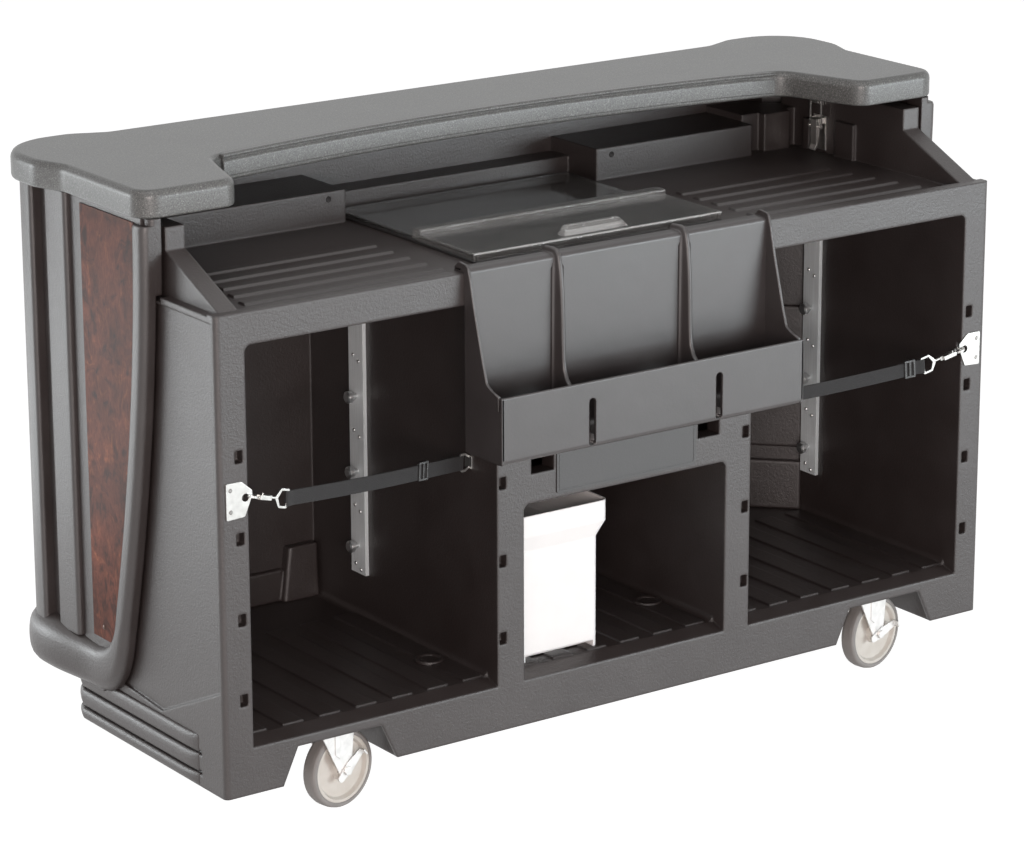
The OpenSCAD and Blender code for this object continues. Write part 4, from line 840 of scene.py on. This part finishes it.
def end_wall(side):
    """The tray's end, whose front edge curves from the lip up over the rim."""
    outline = rounded_outline(
        [
            (-1, LIP_LOW, 0), (-LIP_OUT, LIP_LOW, 4), (-LIP_OUT, LIP_TOP, 2), (-108, LIP_TOP, 3),
            (-86, 789, 12), (-69, 798, 10), (-58, 831, 60), (-30, 930, 60), (-17, 985, 12), (-9, 1009, 10),
            (18, 1012, 9), (31, 1001, 3), (31, 995, 1), (-1, 995, 0),
        ],
        4,
    )
    near = RAIL_X + side * (RAIL_HALF - SHEET)
    far = RAIL_X + side * (RAIL_HALF + 0.01)
    return bevelled(loft([[at(x, p.x, p.y) for p in outline] for x in (near, far)]), 1.5, 2, 60)


def ridge_shell(x):
    """A ridge with a flared foot, from over the rim down to the lip."""
    stations = [
        ((31, 999), (36, 1005), 0.7), ((28, 1000), (31, 1010), 0.9), ((8, 1000), (6, 1012.5), 1),
        ((0, 1000), (-8, 1010), 1), ((-5, 994), (-15.5, 998), 1), ((-BACK_FACE, 975), (-20.5, 974), 1),
        ((-BACK_FACE, 950), (-23.5, 949), 1), ((-BACK_FACE, 920), (-26, 920), 1),
        ((-BACK_FACE, 880), (-28, 880), 1), ((-BACK_FACE, 840), (-29, 842), 1),
        ((-BACK_FACE, 800), (-30.5, 806), 1), ((-BACK_FACE, 770), (-33, 786), 1),
        ((-BACK_FACE, 735), (-40, 769), 1), ((-12, 690), (-52, 757), 1), ((-28, 664), (-70, 750), 1),
        ((-60, 658), (-90, 746), 1), ((-LIP_OUT + 4, 658), (-LIP_OUT + 3, 744), 1),
    ]
    rings = []
    for base, nose, size in stations:
        reach = math.dist(base, nose)
        tip = min(5, reach * 0.45)
        side = [(share * (reach - tip), half * size) for share, half in RIDGE_SECTION]
        side += [(reach - tip + tip * math.sin(a), 5.4 * size * math.cos(a)) for a in (0.35, 0.75, 1.15)]
        side += [(reach, 0)] + [(run, -half) for run, half in reversed(side)]
        step = Vector((nose[0] - base[0], nose[1] - base[1])) / reach
        ring = []
        for run, half in side:
            ring.append(at(x + half, base[0] + step.x * run, base[1] + step.y * run))
        rings.append(ring)
    return loft(rings)


def slot_cutter(x):
    """A round-ended bar that cuts a slot out of the lip and the foot of the ridge behind it."""
    outline = []
    for z, start in ((SLOT_LOW + SLOT_HALF, math.pi), (SLOT_HIGH - SLOT_HALF, 0)):
        for k in range(11):
            angle = start + math.pi * k / 10
            outline.append((x + SLOT_HALF * math.cos(angle), z + SLOT_HALF * math.sin(angle)))
    return loft([[at(u, depth, v) for u, v in outline] for depth in (-LIP_OUT - 5, -LIP_OUT + 17)])


def notch_cutter():
    """A bar that cuts the slit between the lip and each end wall's front, from above."""
    near, far = -LIP_OUT + SHEET, -LIP_OUT + SHEET + NOTCH_WIDE
    outline = [(near, NOTCH_FOOT), (far, NOTCH_FOOT), (far, LIP_TOP + 9), (near, LIP_TOP + 9)]
    return loft([[at(x, y, z) for y, z in outline] for x in (RAIL_ENDS[0] - 5, RAIL_ENDS[1] + 5)])


def cut_out(piece, shell):
    """Cuts a shell out of a piece for good."""
    cutter = new_piece("cutter", shell, rail_plastic, "bar")
    hole = piece.modifiers.new("hole", "BOOLEAN")
    hole.operation = "DIFFERENCE"
    hole.solver = "EXACT"
    hole.use_self = True
    hole.object = cutter
    bpy.context.view_layer.update()
    cut = bpy.data.meshes.new_from_object(piece.evaluated_get(bpy.context.evaluated_depsgraph_get()))
    piece.modifiers.remove(hole)
    piece.data = cut
    bpy.data.objects.remove(cutter)
    cut.set_sharp_from_angle(angle=math.radians(SHARP_EDGE))


ridges = [RAIL_X - RIDGE_X, RAIL_X + RIDGE_X]
end_walls, both_ridges = together(end_wall(-1), end_wall(1)), together(*(ridge_shell(x) for x in ridges))
rail_sheet = new_piece("rail_sheet", sheet_shell(), rail_plastic, "speed_rail")
rail_walls = new_piece("rail_walls", end_walls, rail_plastic, "speed_rail")
rail_ridges = new_piece("rail_ridges", both_ridges, rail_plastic, "speed_rail", 60)
for piece in (rail_sheet, rail_ridges):
    cut_out(piece, together(*(slot_cutter(x) for x in ridges)))
cut_out(rail_walls, notch_cutter())
for piece in (rail_sheet, rail_walls, rail_ridges):
    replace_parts(piece, "speed_rail")

# The label plate is bare satin black with a fine raised border line.
# It is bonded to the face under the bottle rail.
LABEL_BLACK_LOW, LABEL_BLACK = (0.024, 0.021, 0.021), (0.03, 0.026, 0.026)
BORDER_HALF, BORDER_LOW, BORDER_TOP, BORDER_R = 159, 542, 630, 5
BORDER_SECTION = [(0.6, 2.0), (0.5, 2.5), (-0.5, 2.5), (-0.6, 2.0)]
label_black = pebbled_plastic("label_black", LABEL_BLACK_LOW, LABEL_BLACK, 0.46, 0.001, 0.0003)
finish(label_black, "label_plate")


def label_border():
    """A thin raised line just inside the plate's edge."""
    rings = []
    for grow, proud in BORDER_SECTION:
        half, low, high = BORDER_HALF + grow, BORDER_LOW - grow, BORDER_TOP + grow
        corners = [(x, z, BORDER_R) for x, z in ((-half, low), (half, low), (half, high), (-half, high))]
        rings.append([at(p.x, -proud, p.y) for p in rounded_outline(corners)])
    return loft(rings, caps=False)


new_piece("label_line", label_border(), basin_plastic, "bar")

# The waste container is a glossy white tub with a flared collar.
# It stands on the centre bay's floor and pulls straight out.
TUB_WHITE_LOW, TUB_WHITE = (0.89, 0.87, 0.86), (0.92, 0.9, 0.89)
tub_plastic = cloudy_finish(
    "tub_plastic", TUB_WHITE_LOW, TUB_WHITE, (0.06, 4), (0.24, 0.38), 0.006, (0.03, 0.0003, 0.3)
)
finish(tub_plastic, "waste_container")

# Polished tie plates with two rivets stand at the outer posts, with a snap hook in each eye.
# A black webbing strap runs from the hook's ring to an anchor deep in the bay.
RIVET_GREY = (0.3, 0.29, 0.28)
BUCKLE_BLACK_LOW, BUCKLE_BLACK = (0.012, 0.011, 0.011), (0.02, 0.018, 0.018)
WEB_BLACK_LOW, WEB_BLACK = (0.008, 0.0075, 0.008), (0.022, 0.021, 0.022)
HOOK_EYE, HOOK_AIM, HOOK_REACH = Vector((831.8, -1.25, 655)), Vector((745, 15, 630)), 86
STRAP_START = HOOK_EYE + (HOOK_AIM - HOOK_EYE).normalized() * HOOK_REACH
STRAP_END = Vector((318, 92, 601))
STRAP_LENGTH = (STRAP_END - STRAP_START).length
STRAP_HALF, STRAP_THICK, STRAP_SAG = 14, 1.7, 3.5
STRAP_EDGE = [(-1, -0.6), (-0.94, -1), (0, -1.1), (0.94, -1), (1, -0.6)]
LOOP_R = 3.2
BUCKLES = {"right": 31, "left": 340}
TAIL_PAST_BUCKLE = 26
STITCH_ROWS = (20, 27, 41)
for side in ("left", "right"):
    finish(nickel, f"tie_plate_{side}", f"snap_hook_{side}", f"snap_trigger_{side}")
finish(nickel, "strap_anchors")
finish(plated_metal("rivet_steel", RIVET_GREY, 0.35, 0.0008), "tie_rivets")
buckle_plastic = pebbled_plastic("buckle_plastic", BUCKLE_BLACK_LOW, BUCKLE_BLACK, 0.3, 0.0012)
finish(buckle_plastic, "slider_buckles")


def webbing():
    """Black webbing woven across its length, with a soft sheen."""
    sheen = [("Sheen Weight", 0.08), ("Sheen Roughness", 0.4)]
    material = new_material("webbing", WEB_BLACK, 0.75, sheen)
    where = place_on_piece(material)
    ribbed = {"Vector": where, "Scale": 140, "Distortion": 0.4, "Detail Scale": 60}
    weave = add_node(material, "ShaderNodeTexWave", ribbed, bands_direction="X")
    yarn = add_node(material, "ShaderNodeTexWave", {"Vector": where, "Scale": 100}, bands_direction="Z")
    fuzz = clouds(material, where, 0.004, 3)
    black = shades(material, weave.outputs["Fac"], [(0.2, WEB_BLACK_LOW), (0.8, WEB_BLACK)])
    worn = shades(material, fuzz, [(0.35, (0.85, 0.85, 0.85)), (0.7, (1.15, 1.15, 1.15))])
    paint(material, "Base Color", multiplied(material, black, worn))
    paint(material, "Roughness", between(material, fuzz, 0.66, 0.86))
    ribs = relief(material, weave.outputs["Fac"], 0.0005, 0.8)
    relief(material, yarn.outputs["Fac"], 0.0003, 0.5, ribs)
    return material


def strap_place(side):
    """Places a point given along the strap, through it and across it."""
    ahead = (STRAP_END - STRAP_START).normalized()
    through = Vector((-ahead.y, ahead.x, 0)).normalized()
    across = ahead.cross(through)
    sign = -1 if side == "left" else 1

    def place(run, depth, width):
        spot = STRAP_START + ahead * run + through * depth + across * width
        return at(sign * spot.x, spot.y, spot.z)

    return place


def strap_loop(middle, degrees):
    """The strap's turn round a ring, at a place along it."""
    turns = [math.radians(d) for d in degrees]
    return [(middle + LOOP_R * math.cos(a), LOOP_R * math.sin(a)) for a in turns]


def strap_line(tail):
    """The strap's middle line: up from the tail, round the hook's ring, along, and round the anchor."""
    line = [(tail, -1.9), (tail - 6, -2.0)] + [(run, -2.0) for run in range(int(tail) - 30, 14, -30)]
    line += [(11, -2.1), (7, -2.6)] + strap_loop(0, range(-70, -291, -22))
    line += [(7, 2.2), (12, 0.7), (20, 0.1)]
    line += [(20 + (STRAP_LENGTH - 50) * k / 12, 0.1) for k in range(1, 13)]
    line += [(STRAP_LENGTH - 12, 0.7), (STRAP_LENGTH - 7, 2.2)]
    line += strap_loop(STRAP_LENGTH, range(110, -111, -22))
    line += [(STRAP_LENGTH - back, depth) for back, depth in ((7, -2.6), (12, -2.1), (24, -2.0), (46, -1.9))]
    return line


def strap_shell(side):
    place = strap_place(side)
    line = strap_line(BUCKLES[side] + TAIL_PAST_BUCKLE)
    section = STRAP_EDGE + [(u, -v) for u, v in reversed(STRAP_EDGE)]
    rings = []
    for i, (run, depth) in enumerate(line):
        before, after = Vector(line[max(i - 1, 0)]), Vector(line[min(i + 1, len(line) - 1)])
        step = (after - before).normalized()
        out = Vector((-step.y, step.x))
        sag = -STRAP_SAG * math.sin(math.pi * min(1, max(0, run / STRAP_LENGTH)))
        ring = []
        for u, v in section:
            shift = out * (v * STRAP_THICK / 2)
            ring.append(place(run + shift.x, depth + shift.y, u * STRAP_HALF + sag))
        rings.append(ring)
    return loft(rings)


def stitches(side):
    """Three rows of thread across the end sewn round the anchor."""
    place = strap_place(side)
    rows = []
    for back in STITCH_ROWS:
        run = STRAP_LENGTH - back
        for k in range(6):
            width = -10.5 + 4.2 * k
            low, high = (run - 0.4, -3.2, width - 1.4), (run + 0.4, 1.25, width + 1.4)
            rows.append(soft_block(low, high, 0.2, 1, place))
    return together(*rows)


strap_webbing = webbing()
for side in ("left", "right"):
    strap = new_piece(f"webbing_{side}", strap_shell(side), strap_webbing, "bar", 60)
    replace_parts(strap, f"strap_{side}")
    new_piece(f"stitches_{side}", stitches(side), strap_webbing, "bar")

# The photograph's camera stands to the left of the bartender and looks down.
# Its place, turn and lens, in pixels of the photograph, are fitted to points all over the bar.
CAMERA_AT = (-4.268, -5.9585, 2.742)
CAMERA_TURN = (math.radians(35.26), math.radians(16.60), math.radians(-0.16))
SENSOR, LENS_PIXELS, PICTURE_WIDE = 36, 3908, 1024


def aim_camera():
    turn, dip, roll = CAMERA_TURN
    ahead = Vector((math.sin(turn) * math.cos(dip), math.cos(turn) * math.cos(dip), -math.sin(dip)))
    right = Vector((math.cos(turn), -math.sin(turn), 0))
    up = right.cross(ahead)
    side = right * math.cos(roll) + up * math.sin(roll)
    top = up * math.cos(roll) - right * math.sin(roll)
    data = bpy.data.cameras.new("camera")
    data.lens = SENSOR * LENS_PIXELS / PICTURE_WIDE
    data.sensor_width = SENSOR
    data.clip_end = 100
    camera = in_scene("camera", data)
    camera.matrix_world = Matrix((side, top, -ahead)).transposed().to_4x4()
    camera.location = CAMERA_AT
    bpy.context.scene.camera = camera


aim_camera()

# A pale studio floor under soft light from large panels. Two low ones give the flat plastic its sheen.
# The air and the floor look white to the camera, to metal and through the lids.
AIR_LIGHT = 0.16
FLOOR_HALF, FLOOR_WHITE, FLOOR_GLOW, GLOW_SHARE = 20, (0.92, 0.92, 0.92), 1.3, 0.75


def either(material, first, second):
    """The greater of two fields."""
    return add_node(material, "ShaderNodeMath", {0: first, 1: second}, operation="MAXIMUM").outputs[0]


def white_to_the_eye(material, socket, low, high):
    """Drives a strength from low, for plain light, to high, for what the eye, metal and glass see."""
    path = add_node(material, "ShaderNodeLightPath", {}).outputs
    seen = either(material, path["Is Camera Ray"], path["Is Glossy Ray"])
    seen = either(material, seen, path["Is Transmission Ray"])
    material.node_tree.links.new(between(material, seen, low, high), socket)


def panel_light(name, place, target, size, power, tint):
    data = bpy.data.lights.new(name, "AREA")
    data.shape = "RECTANGLE"
    data.size, data.size_y = size
    data.energy = power
    data.color = tint
    light = in_scene(name, data)
    light.location = place
    light.rotation_euler = (Vector(target) - Vector(place)).to_track_quat("-Z", "Y").to_euler()


def pale_floor():
    corners = [(-1, -1), (1, -1), (1, 1), (-1, 1)]
    mesh = bpy.data.meshes.new("floor")
    mesh.from_pydata([(x * FLOOR_HALF, y * FLOOR_HALF, 0) for x, y in corners], [], [(0, 1, 2, 3)])
    floor = in_scene("floor", mesh)
    material = new_material("pale_floor", FLOOR_WHITE, 0.8)
    nodes = material.node_tree.nodes
    glow = add_node(material, "ShaderNodeEmission", {"Strength": FLOOR_GLOW})
    both = {1: nodes["Principled BSDF"].outputs[0], 2: glow.outputs[0]}
    mix = add_node(material, "ShaderNodeMixShader", both)
    white_to_the_eye(material, mix.inputs["Fac"], 0.0, GLOW_SHARE)
    material.node_tree.links.new(mix.outputs[0], nodes["Material Output"].inputs["Surface"])
    mesh.materials.append(material)


bpy.context.scene.view_settings.view_transform = "Standard"
world = bpy.data.worlds.new("studio_air")
bpy.context.scene.world = world
world.use_nodes = True
air = world.node_tree.nodes["Background"]
air.inputs["Color"].default_value = (1, 1, 1, 1)
white_to_the_eye(world, air.inputs["Strength"], AIR_LIGHT, 1.0)
panel_light("front_panel", (4.6, -6.6, 1.1), (0, -0.3, 0.6), (4.6, 2.1), 300, (0.88, 0.965, 1.0))
panel_light("front_low_panel", (1.7, -2.9, 0.1), (0.2, -0.3, 0.75), (3.6, 1.3), 24, (0.91, 0.975, 1.0))
panel_light("left_panel", (-4.5, 4.1, 1.0), (-0.9, 0, 0.6), (2.0, 1.9), 105, (0.93, 0.98, 1.0))
panel_light("left_low_panel", (-1.8, 1.3, 0.08), (-0.93, 0, 0.45), (2.2, 1.1), 13, (0.93, 0.98, 1.0))
panel_light("fill_panel", (-3.4, -5.6, 1.7), (0, 0, 0.6), (2.4, 2.0), 200, (1.0, 0.88, 0.84))
panel_light("top_panel", (-1.0, -1.0, 4.4), (0, 0.1, 1.1), (3.0, 2.0), 30, (1.0, 1.0, 1.0))
pale_floor()
